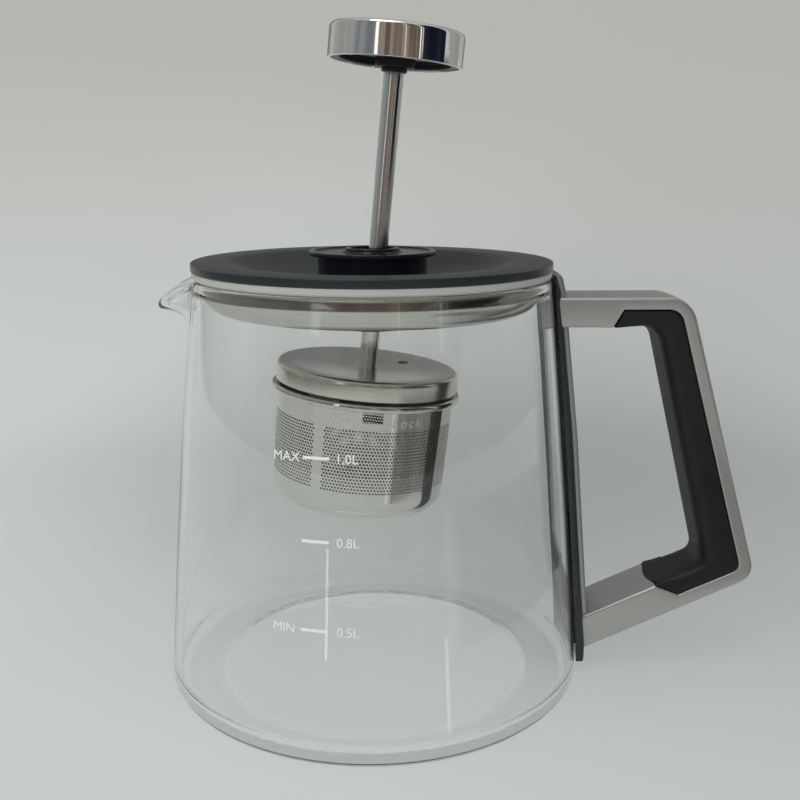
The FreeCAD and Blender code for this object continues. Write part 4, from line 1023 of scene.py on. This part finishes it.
def flat_bar(name, inner, outer, half, inner_round, outer_round, crown, bulge=0.0):
    """A bar in the handle's plane between an inner and an outer curve of equal length.

    A section's a runs from the inner to the outer point and b along Y. The last end's
    middle stands out along the inner curve by bulge * (1 - (b / half)^2).
    """
    moved = np.linalg.norm(np.diff(np.concatenate([inner, outer], 1), axis=0), axis=1)
    keep = np.concatenate([[True], moved > SAME_POINT])
    inner_round = np.broadcast_to(inner_round, keep.shape)[keep]
    inner, outer = inner[keep], outer[keep]
    middle, across = (inner + outer) / 2, outer - inner
    depth = np.linalg.norm(across, axis=1)
    a, b = block_section(depth, 2 * half, inner_round, outer_round, crown)
    spot = middle[:, None, :] + (across / depth[:, None])[:, None, :] * a[..., None]
    ahead = unit(inner[-1] - inner[-2])
    spot[-1] += bulge * (1 - (b[-1, :, None] / half) ** 2) * ahead
    grid = np.stack([spot[..., 0], b, spot[..., 1]], -1)
    return tube(name, grid, [grid[0].mean(0), grid[-1].mean(0)])


class TEAJUG_OT_handle(Operator):
    """Casts the silver frame and moulds the black grip that fills its inner side.

    Each is a bar between two matched curves; its sections are rounded rectangles, and the
    frame's outer faces are crowned by crown * (b / half width)^2.
    """
    bl_idname = "tea_jug.handle"
    bl_label = "Handle"

    def execute(self, context):
        handle, colours = context.scene.tea_jug_handle, context.scene.tea_jug_colours
        heel, end = (foot_on_underside(*FRAME_INNER[corner][:2]) for corner in (5, 6))
        outer = FRAME_OUTER_TOP + [FRAME_TOE, (*heel, 0), (*end, 0), (*UNDERSIDE_ROOT, 0)]
        inner_line = stations(np.array(FRAME_INNER) * MM)
        outer_line = stations(np.array(outer) * MM)
        edge = np.full(len(inner_line), handle.inner_edge)
        edge[station_of(1, -1):station_of(6, 4)] = handle.seam
        frame_piece = flat_bar("handle_frame_cover", inner_line, outer_line, handle.half_width,
                               edge, handle.frame_edge, handle.crown)
        dress(frame_piece, satin_silver("frame_silver", colours.silver), "jug",
              ["handle_frame"])
        palm = stations(np.array(GRIP_INNER) * MM)
        arc_ends = [station_of(corner, ARC_POINTS - 1) for corner in (3, 4, 5)]
        taper = np.interp(np.arange(len(palm)), arc_ends, [1.0, 0.45, 0.12])
        grip = flat_bar("handle_grip_cover", palm, stations(np.array(GRIP_OUTER) * MM),
                        handle.half_width - 0.1 * MM, handle.palm_edge * taper, handle.seam, 0.0,
                        handle.toe_bulge)
        dress(grip, moulded_plastic("grip_black", colours.black, 0.40), "jug",
              ["handle_grip"])
        return {"FINISHED"}


# ---------------------------------------------------------------- the lid

class TEAJUG_OT_lid(Operator):
    """Turns the dished cover, its seal and the pan under it."""
    bl_idname = "tea_jug.lid"
    bl_label = "Lid"

    def execute(self, context):
        lid, colours = context.scene.tea_jug_lid, context.scene.tea_jug_colours
        radius, top = lid.radius / MM, lid.top / MM
        ring, step, low = lid.ring / MM, lid.step / MM, (lid.top - lid.band) / MM
        cover = turned("lid_cover_shell", outline([
            (radius, low, 0.35), (radius, top, 0.38), (ring, top, 10.0), (36.0, 132.7, 25.0),
            (28.0, 130.4, 40.0), (17.5, 129.4, 1.0), (13.2, 129.4, 0.0), (13.2, 127.5, 0.0),
            (28.0, 128.4, 1.0), (step + 0.8, top - 3.9, 0.5), (ring + 0.8, low, 0.0)]), 256)
        dress(cover, polished_black("lid_black", colours.lid_black, 0.30, 0.4), "lid",
              ["lid_cover"])
        seal = turned("lid_seal_ring", outline([
            (52.6, 131.2, 0.5), (radius - 0.3, 131.2, 0.9), (radius - 0.3, low, 0.2),
            (52.6, low, 0.0)]), 256)
        dress(seal, silicone(colours), "lid", ["lid_seal"])
        pan_radius, bottom = lid.pan_radius / MM, lid.pan_bottom / MM
        pan = turned("lid_pan_shell", outline([
            (11.9, bottom, 0.0), (pan_radius, bottom, 7.0), (pan_radius, low - 0.8, 0.0),
            (54.3, low - 0.8, 0.0), (54.3, low, 0.0), (pan_radius - 0.8, low, 0.0),
            (pan_radius - 0.8, bottom + 0.8, 6.2), (11.9, bottom + 0.8, 0.0)], 12), 256)
        # The pan's upper band gets a painted dark reflection of the room.
        steel = turned_steel("pan_steel", colours.steel, 0.17, painted_reflection=colours.rolled,
                             painted_reflection_above=lid.pan_bottom + 6.2 * MM)
        dress(pan, steel, "lid", ["lid_pan"])
        return {"FINISHED"}


class TEAJUG_OT_hub(Operator):
    """Turns the hub in the lid's middle and the ring round its bore."""
    bl_idname = "tea_jug.hub"
    bl_label = "Hub"

    def execute(self, context):
        lid, colours = context.scene.tea_jug_lid, context.scene.tea_jug_colours
        flange, top = lid.hub_radius / MM, lid.hub_top / MM
        gloss = polished_black("hub_black", colours.hub_black, 0.14, 0.35)
        hub = turned("lid_hub_shell", outline([
            (7.3, 116.6, 0.0), (9.5, 116.6, 0.0), (9.5, 115.1, 0.0), (11.6, 115.1, 0.3),
            (11.6, 121.8, 0.0), (13.0, 121.8, 0.0), (13.0, 129.4, 0.0), (17.0, 129.4, 0.3),
            (17.0, top - 1.4, 0.5), (flange, top - 1.4, 0.35), (flange, top, 0.35),
            (flange - 1.5, top, 0.25), (flange - 1.9, top - 0.45, 0.2), (9.4, top - 0.45, 0.2),
            (9.0, top, 0.2), (8.45, top, 0.2), (8.45, top - 0.8, 0.0), (7.05, top - 0.8, 0.0),
            (7.05, top, 0.0), (6.75, top, 0.2), (5.3, top - 2.0, 0.6), (4.3, 125.9, 0.0),
            (5.9, 124.3, 1.0), (7.3, 121.5, 2.0)]), 192)
        dress(hub, gloss, "lid", ["lid_hub"])
        ring = turned("hub_trim_ring", outline([
            (7.1, top - 0.8, 0.0), (8.4, top - 0.8, 0.0), (8.4, top + 0.8, 0.35),
            (7.1, top + 0.8, 0.35)]), 128)
        dress(ring, gloss, "lid", ["hub_ring"])
        return {"FINISHED"}


# ---------------------------------------------------------------- rod and knob

class TEAJUG_OT_rod(Operator):
    """Turns the rod, the knob's bright shell, its black core and the collar under it."""
    bl_idname = "tea_jug.rod"
    bl_label = "Rod and knob"

    def execute(self, context):
        rod, colours = context.scene.tea_jug_rod, context.scene.tea_jug_colours
        shaft, radius = rod.radius / MM, rod.knob_radius / MM
        low, top, edge = rod.knob_low / MM, rod.knob_top / MM, rod.knob_edge / MM
        stem = turned("lift_rod_shaft", outline([
            (0, -24.1, 0), (1.95, -24.1, 0.2), (1.95, -18.6, 0), (shaft, -18.6, 0.15),
            (shaft, 78.0, 0.3), (0, 78.0, 0)], closed=False), 96, along_rod)
        dress(stem, bright_chrome("rod_chrome", colours.rod, 0.16), "infuser",
              ["lift_rod"])
        shell = turned("knob_cap", outline([
            (0, top, 0), (radius, top, edge), (radius, low, 0.3), (radius - 1.0, low, 0.25),
            (radius - 1.0, top - 1.0, 0.4), (0, top - 1.0, 0)], closed=False), 256, along_rod)
        dress(shell, bright_chrome("knob_chrome", colours.chrome, 0.035), "infuser",
              ["knob_shell"])
        core = turned("knob_core_shell", outline([
            (shaft, 73.2, 0.2), (6.0, 73.2, 0.5), (6.0, low + 2.4, 0.6), (16.8, low + 2.4, 0.5),
            (16.8, low + 0.4, 0.4), (radius - 1.05, low + 0.4, 0.2), (radius - 1.05, top - 1.1, 0.3),
            (shaft, top - 1.1, 0.0)]), 192, along_rod)
        black = moulded_plastic("core_black", colours.hub_black, 0.30)
        dress(core, black, "infuser", ["knob_core"])
        collar = turned("knob_collar_ring", outline([
            (shaft, 72.0, 0.1), (3.9, 72.0, 0.4), (3.9, 73.2, 0.1), (shaft, 73.2, 0.0)]),
            96, along_rod)
        dress(collar, black, "infuser", ["knob_collar"])
        return {"FINISHED"}


# ---------------------------------------------------------------- the basket

def drill(piece, x, y, level, radius, depth):
    """Cuts a round hole along the rod through a piece."""
    line = np.array([(0, level - depth), (radius, level - depth), (radius, level + depth),
                     (0, level + depth)])
    shift = np.array([x, y, 0.0])
    cutter = turned("vent_cutter", line, 48, lambda points: along_rod(points + shift))
    cut = piece.modifiers.new("vent", "BOOLEAN")
    cut.operation, cut.object, cut.solver = "DIFFERENCE", cutter, "EXACT"
    bpy.context.view_layer.update()
    graph = bpy.context.evaluated_depsgraph_get()
    mesh = bpy.data.meshes.new_from_object(piece.evaluated_get(graph))
    piece.modifiers.clear()
    piece.data = mesh
    bpy.data.objects.remove(cutter)
    mesh.set_sharp_from_angle(angle=SHARP_ANGLE)


class TEAJUG_OT_basket_lid(Operator):
    """Presses the basket's lid with its skirt and drills its vent hole."""
    bl_idname = "tea_jug.basket_lid"
    bl_label = "Basket lid"

    def execute(self, context):
        basket, colours = context.scene.tea_jug_basket, context.scene.tea_jug_colours
        radius, top = basket.lid_radius / MM, basket.lid_top / MM
        skirt, seat = basket.skirt / MM, (basket.lid_top - basket.dish) / MM
        piece = turned("basket_lid_cap", outline([
            (2.0, seat - 0.7, 0), (7.0, seat - 0.7, 60), (24.5, top - 0.7, 60),
            (radius - 0.7, top - 0.7, 0.9), (radius - 0.7, top - skirt, 0.15),
            (radius, top - skirt, 0.25), (radius, top, 1.5), (24.5, top, 60), (7.0, seat, 60),
            (2.0, seat, 0)], 10), 192, along_rod)
        vent_turn, vent_distance = math.radians(43.5), 16.0 * MM
        drill(piece, vent_distance * math.cos(vent_turn), vent_distance * math.sin(vent_turn),
              basket.lid_top - 0.8 * MM, basket.vent, 2 * MM)
        dress(piece, brushed_steel("lid_steel", colours.lid_steel, 0.14), "infuser",
              ["basket_lid"])
        return {"FINISHED"}


def cup_outline(basket, levels):
    """The cup's outline from its bottom's middle up the outside and down the inside.

    Returns the points and the rows where the outer and the inner wall start; both walls
    have a point at each of the given levels.
    """
    top = basket.lid_top
    bottom = top - basket.depth
    corner = 5.5 * MM
    rim_top = top - basket.rim_top
    rim_low = rim_top - basket.rim_height
    roll = basket.rim_height * 0.46
    start = rim_low - 0.3 * MM
    slope = (basket.mouth_radius - basket.base_radius) / (rim_low - bottom - corner)
    radii = basket.base_radius + slope * (levels - bottom - corner)
    sheet = basket.sheet
    neck = 26.5 * MM
    under = rounded([(0, bottom, 0), (basket.base_radius, bottom, corner),
                     (basket.base_radius, bottom + corner, 0)], 10, False).reshape(-1, 2)
    rim = rounded([
        (basket.mouth_radius, start, 0.0), (basket.mouth_radius, rim_low, 0.25 * MM),
        (basket.rim, rim_low, roll), (basket.rim, rim_top, roll), (neck, rim_top, 0.4 * MM),
        (neck, top - 2.1 * MM, 0.25 * MM), (neck - sheet, top - 2.1 * MM, 0.25 * MM),
        (neck - sheet, rim_top - 0.6 * MM, 0.4 * MM),
        (basket.mouth_radius - sheet, start, 0.0)], 5, False).reshape(-1, 2)
    inner = rounded([(basket.base_radius - sheet, bottom + corner, 0),
                     (basket.base_radius - sheet, bottom + sheet, corner - sheet),
                     (0, bottom + sheet, 0)], 6, False).reshape(-1, 2)
    outer_wall = np.stack([radii, levels], -1)
    inner_wall = np.stack([radii - sheet, levels], -1)[::-1]
    under, rim, inner = distinct(under), distinct(rim), distinct(inner)
    line = np.concatenate([under, outer_wall, rim, inner_wall, inner])
    outer_row = len(under)
    inner_row = outer_row + len(levels) + len(rim)
    return line, outer_row, inner_row


def ring_of_hole(centre, along, up, radius):
    """Eight points round each centre, from the lower left one on."""
    theta = np.radians(-135.0 + 45.0 * np.arange(8))
    return (centre[:, None, :] + radius * np.cos(theta)[None, :, None] * along[:, None, :]
            + radius * np.sin(theta)[None, :, None] * up[:, None, :])


class TEAJUG_OT_cup(Operator):
    """Presses the cup and perforates its wall.

    The outline is turned round the rod's axis in equal columns. The perforated rows are
    laid like bricks two columns wide, each row half a brick further on, and each brick has
    an eight-sided hole in its middle: four quads and six triangles lie between the brick's
    six corners and the hole's ring, on both sides, and eight quads join the two rings.
    Plain strips divide the perforation into three panels, and cells left out above it make
    three windows.
    """
    bl_idname = "tea_jug.cup"
    bl_label = "Basket cup"

    def execute(self, context):
        basket, colours = context.scene.tea_jug_basket, context.scene.tea_jug_colours
        top, columns = basket.lid_top, basket.columns
        zone = np.linspace(top - basket.zone_low, top - basket.zone_top, basket.rows + 1)
        window = top - basket.window_top - np.array([basket.window_height, 0.0])
        low = np.linspace(top - basket.depth + 6.0 * MM, zone[0], 4, endpoint=False)
        levels = np.concatenate([low[1:], zone, window])
        line, outer_row, inner_row = cup_outline(basket, levels)
        ring = line[1:-1]
        outer_row, inner_row = outer_row - 1, inner_row - 1
        azimuth = np.linspace(0, 2 * np.pi, columns, endpoint=False)
        grid = polar(ring[:, None, 0], azimuth[None, :], ring[:, None, 1])
        cells = self.cell_kinds(basket, len(low) - 1, len(levels) - 1)
        points, faces = self.perforated(basket, grid, cells, outer_row, inner_row)
        count = len(points)
        ends = np.array([[0, 0, line[0, 1]], [0, 0, line[-1, 1]]])
        points = along_rod(np.concatenate([points, ends]))
        faces.append(np.concatenate([
            fan_faces(0, columns, count, True),
            fan_faces((len(ring) - 1) * columns, columns, count + 1, False)]))
        piece = solid("basket_cup_shell", points, faces)
        dress(piece, turned_steel("cup_steel", colours.steel, 0.02, True), "basket",
              ["basket_cup"])
        self.words(basket, etched("etched_steel", colours.steel))
        return {"FINISHED"}

    def words(self, basket, material):
        """Wraps the two words on the wall: x / radius is added to the azimuth."""
        level = basket.lid_top - basket.word_level
        for text, azimuth in (("Open", basket.open_word), ("Lock", basket.lock_word)):
            mesh, points = lettering("word", text, basket.word_height, ETCH, 1.25, 0.15)
            radius = basket.mouth_radius + PRINT_GAP
            spots = polar(radius + np.clip(points[:, 2], 0, ETCH),
                          azimuth + points[:, 0] / radius, level + points[:, 1])
            placed_text("word_" + text.lower(), mesh, along_rod(spots), material, "basket")

    def cell_kinds(self, basket, first, rows):
        """A number per wall cell: 0 plain, 1 and 3 a brick's halves, 2 left open."""
        kinds = np.zeros((rows, basket.columns), int)
        row, column = np.indices((basket.rows, basket.columns))
        step = basket.columns // 3
        middle = round(basket.window % (2 * np.pi) / (2 * np.pi) * basket.columns)
        start = middle - step // 4
        place = (column - start) % step - row % 2
        inside = (place >= 0) & (place < basket.panel - 2 * (row % 2))
        kinds[first:first + basket.rows] = np.where(inside, 1 + 2 * (place % 2), 0)
        across = np.arange(basket.window_cells) - basket.window_cells // 2
        for turn in range(3):
            kinds[first + basket.rows + 1, (middle + turn * step + across) % basket.columns] = 2
        return kinds

    def perforated(self, basket, grid, cells, outer_row, inner_row):
        """Points and faces of the grid with its holes and windows."""
        rows, columns = grid.shape[:2]
        count = len(cells)
        points = grid.reshape(-1, 3)
        quads = grid_faces(rows, columns).reshape(rows - 1, columns, 4)
        plain = np.ones((rows - 1, columns), bool)
        plain[outer_row:outer_row + count] = cells == 0
        plain[inner_row:inner_row + count] = cells[::-1] == 0
        faces = [quads[plain]]
        cell_row, cell_column = np.nonzero(cells == 1)
        outer = self.corner_index(outer_row + cell_row, outer_row + cell_row + 1,
                                  cell_column, columns)
        low, high = inner_row + count - cell_row, inner_row + count - cell_row - 1
        inner = self.corner_index(low, high, cell_column, columns)
        rings = []
        start = len(points)
        for corners, flip in ((outer, False), (inner, True)):
            cell = points[corners]
            along = unit(cell[:, 2] + cell[:, 3] - cell[:, 0] - cell[:, 5])
            up = unit(cell[:, 4] - cell[:, 1])
            rings.append(ring_of_hole((cell[:, 1] + cell[:, 4]) / 2, along, up, basket.hole))
            index = start + np.arange(len(cell) * 8).reshape(-1, 8)
            start += len(cell) * 8
            faces += [block[:, ::-1] if flip else block
                      for block in self.around_hole(corners, index)]
        shift = len(cell_row) * 8
        first = len(points) + np.arange(shift).reshape(-1, 8)
        following = np.roll(first, -1, 1)
        walls = np.stack([first, first + shift, following + shift, following], -1)
        faces.append(walls.reshape(-1, 4))
        faces.append(self.window_walls(cells, outer_row, inner_row, columns))
        return np.concatenate([points] + [ring.reshape(-1, 3) for ring in rings]), faces

    def corner_index(self, low, high, left, columns):
        """Indices of a brick's corners, from the lower left one on, anticlockwise."""
        middle, right = (left + 1) % columns, (left + 2) % columns
        return np.stack([low * columns + left, low * columns + middle, low * columns + right,
                         high * columns + right, high * columns + middle,
                         high * columns + left], -1)

    def around_hole(self, corners, ring):
        """Quads and triangles between a brick's six corners and its hole's eight points."""
        def block(*names):
            picks = [corners[:, int(n[1])] if n[0] == "c" else ring[:, int(n[1])] for n in names]
            return np.stack(picks, -1)
        quads = (("c0", "c1", "r1", "r0"), ("c1", "c2", "r2", "r1"),
                 ("c3", "c4", "r5", "r4"), ("c4", "c5", "r6", "r5"))
        triangles = (("c2", "r3", "r2"), ("c2", "c3", "r3"), ("c3", "r4", "r3"),
                     ("c5", "r7", "r6"), ("c5", "c0", "r7"), ("c0", "r0", "r7"))
        return [np.concatenate([block(*names) for names in group])
                for group in (quads, triangles)]

    def window_walls(self, cells, outer_row, inner_row, columns):
        """Quads that join the outer and inner sheet round each window."""
        count = len(cells)
        opened = cells == 2
        walls = []

        def index(row, column, inside):
            base = inner_row + count - row if inside else outer_row + row
            return base * columns + column % columns

        left_row, left = np.nonzero(opened & ~np.roll(opened, 1, 1))
        right_row, right = np.nonzero(opened & ~np.roll(opened, -1, 1))
        low_row, low = np.nonzero(opened & ~np.roll(opened, 1, 0))
        high_row, high = np.nonzero(opened & ~np.roll(opened, -1, 0))
        for ends in (((left_row, left), (left_row + 1, left)),
                     ((right_row + 1, right + 1), (right_row, right + 1)),
                     ((low_row, low + 1), (low_row, low)),
                     ((high_row + 1, high), (high_row + 1, high + 1))):
            (r0, c0), (r1, c1) = ends
            walls.append(np.stack([index(r0, c0, False), index(r1, c1, False),
                                   index(r1, c1, True), index(r0, c0, True)], -1))
        return np.concatenate(walls)


# ---------------------------------------------------------------- other nodes

class TEAJUG_OT_inner_parts(Operator):
    """Finishes the pieces that keep the construction model's shape."""
    bl_idname = "tea_jug.inner_parts"
    bl_label = "Inner parts"

    def execute(self, context):
        colours = context.scene.tea_jug_colours
        black = moulded_plastic("inner_black", colours.black, 0.45)
        rubber = moulded_plastic("rubber_black", colours.hub_black, 0.60)
        bearing = moulded_plastic("bearing_white", colours.white_plastic, 0.35)
        fastener = turned_steel("fastener_steel", colours.steel, 0.22, True)
        finishes = {
            rubber: ("bracket_pad", "hub_gasket", "bush_ring"),
            black: ("grip_core", "hub_nut", "bush_retainer"),
            bearing: ("rod_bush",),
            fastener: ("handle_screws", "knob_screw", "lug_ring", "rod_washer", "foot_nut"),
        }
        for material, names in finishes.items():
            for name in names:
                paint_node(name, material)
        return {"FINISHED"}


# ---------------------------------------------------------------- stage

def arc_card(name, radius, first, last, low, high, material):
    """A card bent round Z that only reflections see.

    Its points are (radius sin a, -radius cos a, z) for angles a from first to last, so a
    is 0 towards the camera and grows towards +X.
    """
    turn = np.linspace(first, last, 25)[:, None]
    level = np.array([low, high])[None, :]
    grid = np.stack(np.broadcast_arrays(radius * np.sin(turn), -radius * np.cos(turn), level), -1)
    index = 2 * np.arange(24)
    faces = np.stack([index, index + 2, index + 3, index + 1], -1)
    mesh = bpy.data.meshes.new(name)
    mesh.from_pydata(grid.reshape(-1, 3).tolist(), [], faces.tolist())
    card = add_object(name, mesh)
    mesh.materials.append(material)
    card.visible_camera = card.visible_diffuse = card.visible_shadow = False
    return card


def area_lamp(name, place, target, size, power, tone):
    """A square lamp that faces a point."""
    lamp = bpy.data.lights.new(name, "AREA")
    lamp.shape, lamp.size = "SQUARE", size
    lamp.energy, lamp.color = power, tone
    holder = add_object(name, lamp)
    holder.location = place
    aim = Vector(target) - Vector(place)
    holder.rotation_euler = aim.to_track_quat("-Z", "Y").to_euler()
    return holder


class TEAJUG_OT_stage(Operator):
    """Sets the floor, the backdrop, the reflected cards, the lamps and the camera."""
    bl_idname = "tea_jug.stage"
    bl_label = "Stage"

    def execute(self, context):
        stage, colours = context.scene.tea_jug_stage, context.scene.tea_jug_colours
        self.floor(stage, colours)
        self.cards()
        self.lamps(context, stage)
        self.camera(context, stage)
        context.scene.view_settings.view_transform = "Standard"
        return {"FINISHED"}

    def floor(self, stage, colours):
        """A floor that curves up into a backdrop: a quarter circle between two planes."""
        side, front, back, bend, height = 6.0, -6.0, 0.55, 0.30, 1.8
        theta = np.linspace(0, np.pi / 2, 24)
        y = np.concatenate([[front], back - bend + bend * np.sin(theta), [back]])
        z = np.concatenate([[0], bend - bend * np.cos(theta), [height]]) - 0.1 * MM
        x = np.linspace(-side, side, 2)
        grid = np.stack(np.broadcast_arrays(x[None, :], y[:, None], z[:, None]), -1)
        rows = len(y)
        index = np.arange(rows - 1)
        faces = np.stack([2 * index, 2 * index + 1, 2 * index + 3, 2 * index + 2], -1)
        mesh = bpy.data.meshes.new("floor")
        mesh.from_pydata(grid.reshape(-1, 3).tolist(), [], faces.tolist(), shade_flat=False)
        piece = add_object("floor", mesh)
        mesh.materials.append(room_surface(colours, stage.glow))

    def cards(self):
        """Cards round the jug that only reflections see: dark, grey, warm and bright ones."""
        person = card_surface("card_person", (0.13, 0.10, 0.083), (0.29, 0.235, 0.20), 14.0)
        blue = card_surface("card_blue", (0.17, 0.185, 0.20), (0.26, 0.28, 0.295))
        glint = card_surface("card_glint", (0.5, 0.5, 0.47), (1.0, 1.0, 0.95), 90.0, 6.0)
        navy = card_surface("card_navy", (0.008, 0.010, 0.018), (0.018, 0.022, 0.036))
        bright = card_surface("card_bright", (0.95, 0.95, 0.90), (1.0, 1.0, 0.97), 3.0, 1.3)
        line = card_surface("card_line", (0.80, 0.78, 0.62), (0.95, 0.93, 0.80), 3.0, 1.1)
        room = card_surface("card_room", (0.12, 0.115, 0.10), (0.22, 0.21, 0.185), 12.0, 1.0, 0.16)
        flag = card_surface("card_flag", (0.18, 0.185, 0.20), (0.23, 0.235, 0.25), 6.0)
        grey = card_surface("card_grey", (0.31, 0.315, 0.30), (0.36, 0.365, 0.35), 5.0)
        dark = card_surface("card_desk", (0.19, 0.182, 0.178), (0.27, 0.255, 0.245), 30.0, 1.0,
                            0.075)
        pale = card_surface("card_pale", (0.72, 0.71, 0.67), (0.82, 0.81, 0.77))
        for name, radius, first, last, low, high, material in (
                ("person", 0.62, -29, 42, 0.10, 0.95, person),
                ("line", 0.60, 14, 15.2, 0.14, 0.95, line),
                ("block", 0.62, 44, 87, 0.12, 0.95, navy),
                ("gap", 0.61, 38.5, 40, 0.12, 0.95, bright),
                ("edge_light", 0.61, -35, -30, 0.14, 0.95, bright),
                ("blue", 0.615, -75, -35, 0.12, 0.95, blue),
                ("left", 0.62, -128, -74, 0.12, 0.95, grey),
                ("right", 0.62, 98, 128, 0.12, 0.95, grey),
                ("room", 0.75, -150, 150, 0.0, 0.20, room),
                ("flag", 0.52, 148, 214, 0.17, 0.60, flag),
                ("near_block", 0.160, 38, 104, 0.0, 0.058, dark),
                ("near_gap", 0.158, 31, 34.5, 0.0, 0.058, pale),
                ("glint_low", 0.088, 22.7, 23.9, 0.0, 0.030, glint),
                ("glint_high", 0.150, -20.3, -19.2, 0.004, 0.046, glint)):
            card = arc_card(name, radius, math.radians(first), math.radians(last), low, high,
                            material)
            card.visible_transmission = material is not glint

    def lamps(self, context, stage):
        world = bpy.data.worlds.new("room")
        world.use_nodes = True
        background = world.node_tree.nodes["Background"]
        background.inputs["Color"].default_value = (0.96, 0.97, 0.98, 1.0)
        background.inputs["Strength"].default_value = stage.room
        context.scene.world = world
        for name, place, size, power in (("lamp_key", (-0.5, -0.9, 0.45), 0.8, 3.5),
                                         ("lamp_top", (-0.2, -0.35, 1.1), 0.6, 2.5)):
            lamp = area_lamp(name, place, (0, 0, 0.08), size, power, (1.0, 0.99, 0.97))
            lamp.visible_glossy = name == "lamp_top"

    def camera(self, context, stage):
        camera = bpy.data.cameras.new("camera")
        camera.lens, camera.sensor_width = stage.lens, 36.0
        camera.clip_start = 0.01
        holder = add_object("camera", camera)
        holder.location = (0.0, -stage.eye_distance, stage.eye_height)
        aim = Vector((math.sin(stage.yaw) * math.cos(stage.pitch),
                      math.cos(stage.yaw) * math.cos(stage.pitch), -math.sin(stage.pitch)))
        holder.rotation_euler = aim.to_track_quat("-Z", "Y").to_euler()
        context.scene.camera = holder


# ---------------------------------------------------------------- add-on

class TEAJUG_PT_panel(Panel):
    """Lists the pieces of the jug."""
    bl_idname = "TEAJUG_PT_panel"
    bl_label = "Tea maker jug"
    bl_space_type = "VIEW_3D"
    bl_region_type = "UI"
    bl_category = "Tea Maker"

    def draw(self, context):
        for operator in OPERATORS:
            self.layout.operator(operator.bl_idname)


GROUPS = {
    "tea_jug_glass": TeaJugGlass,
    "tea_jug_marks": TeaJugMarks,
    "tea_jug_handle": TeaJugHandle,
    "tea_jug_lid": TeaJugLid,
    "tea_jug_rod": TeaJugRod,
    "tea_jug_basket": TeaJugBasket,
    "tea_jug_colours": TeaJugColours,
    "tea_jug_stage": TeaJugStage,
}
OPERATORS = (
    TEAJUG_OT_glass, TEAJUG_OT_marks, TEAJUG_OT_strip, TEAJUG_OT_handle, TEAJUG_OT_lid,
    TEAJUG_OT_hub, TEAJUG_OT_rod, TEAJUG_OT_basket_lid, TEAJUG_OT_cup,
    TEAJUG_OT_inner_parts, TEAJUG_OT_stage,
)


def register():
    for name, group in GROUPS.items():
        bpy.utils.register_class(group)
        setattr(bpy.types.Scene, name, PointerProperty(type=group))
    for operator in OPERATORS:
        bpy.utils.register_class(operator)
    bpy.utils.register_class(TEAJUG_PT_panel)


def unregister():
    bpy.utils.unregister_class(TEAJUG_PT_panel)
    for operator in reversed(OPERATORS):
        bpy.utils.unregister_class(operator)
    for name, group in reversed(list(GROUPS.items())):
        delattr(bpy.types.Scene, name)
        bpy.utils.unregister_class(group)


def main():
    """Builds every piece."""
    register()
    for operator in OPERATORS:
        group, name = operator.bl_idname.split(".")
        getattr(getattr(bpy.ops, group), name)()


if __name__ == "__main__":
    main()
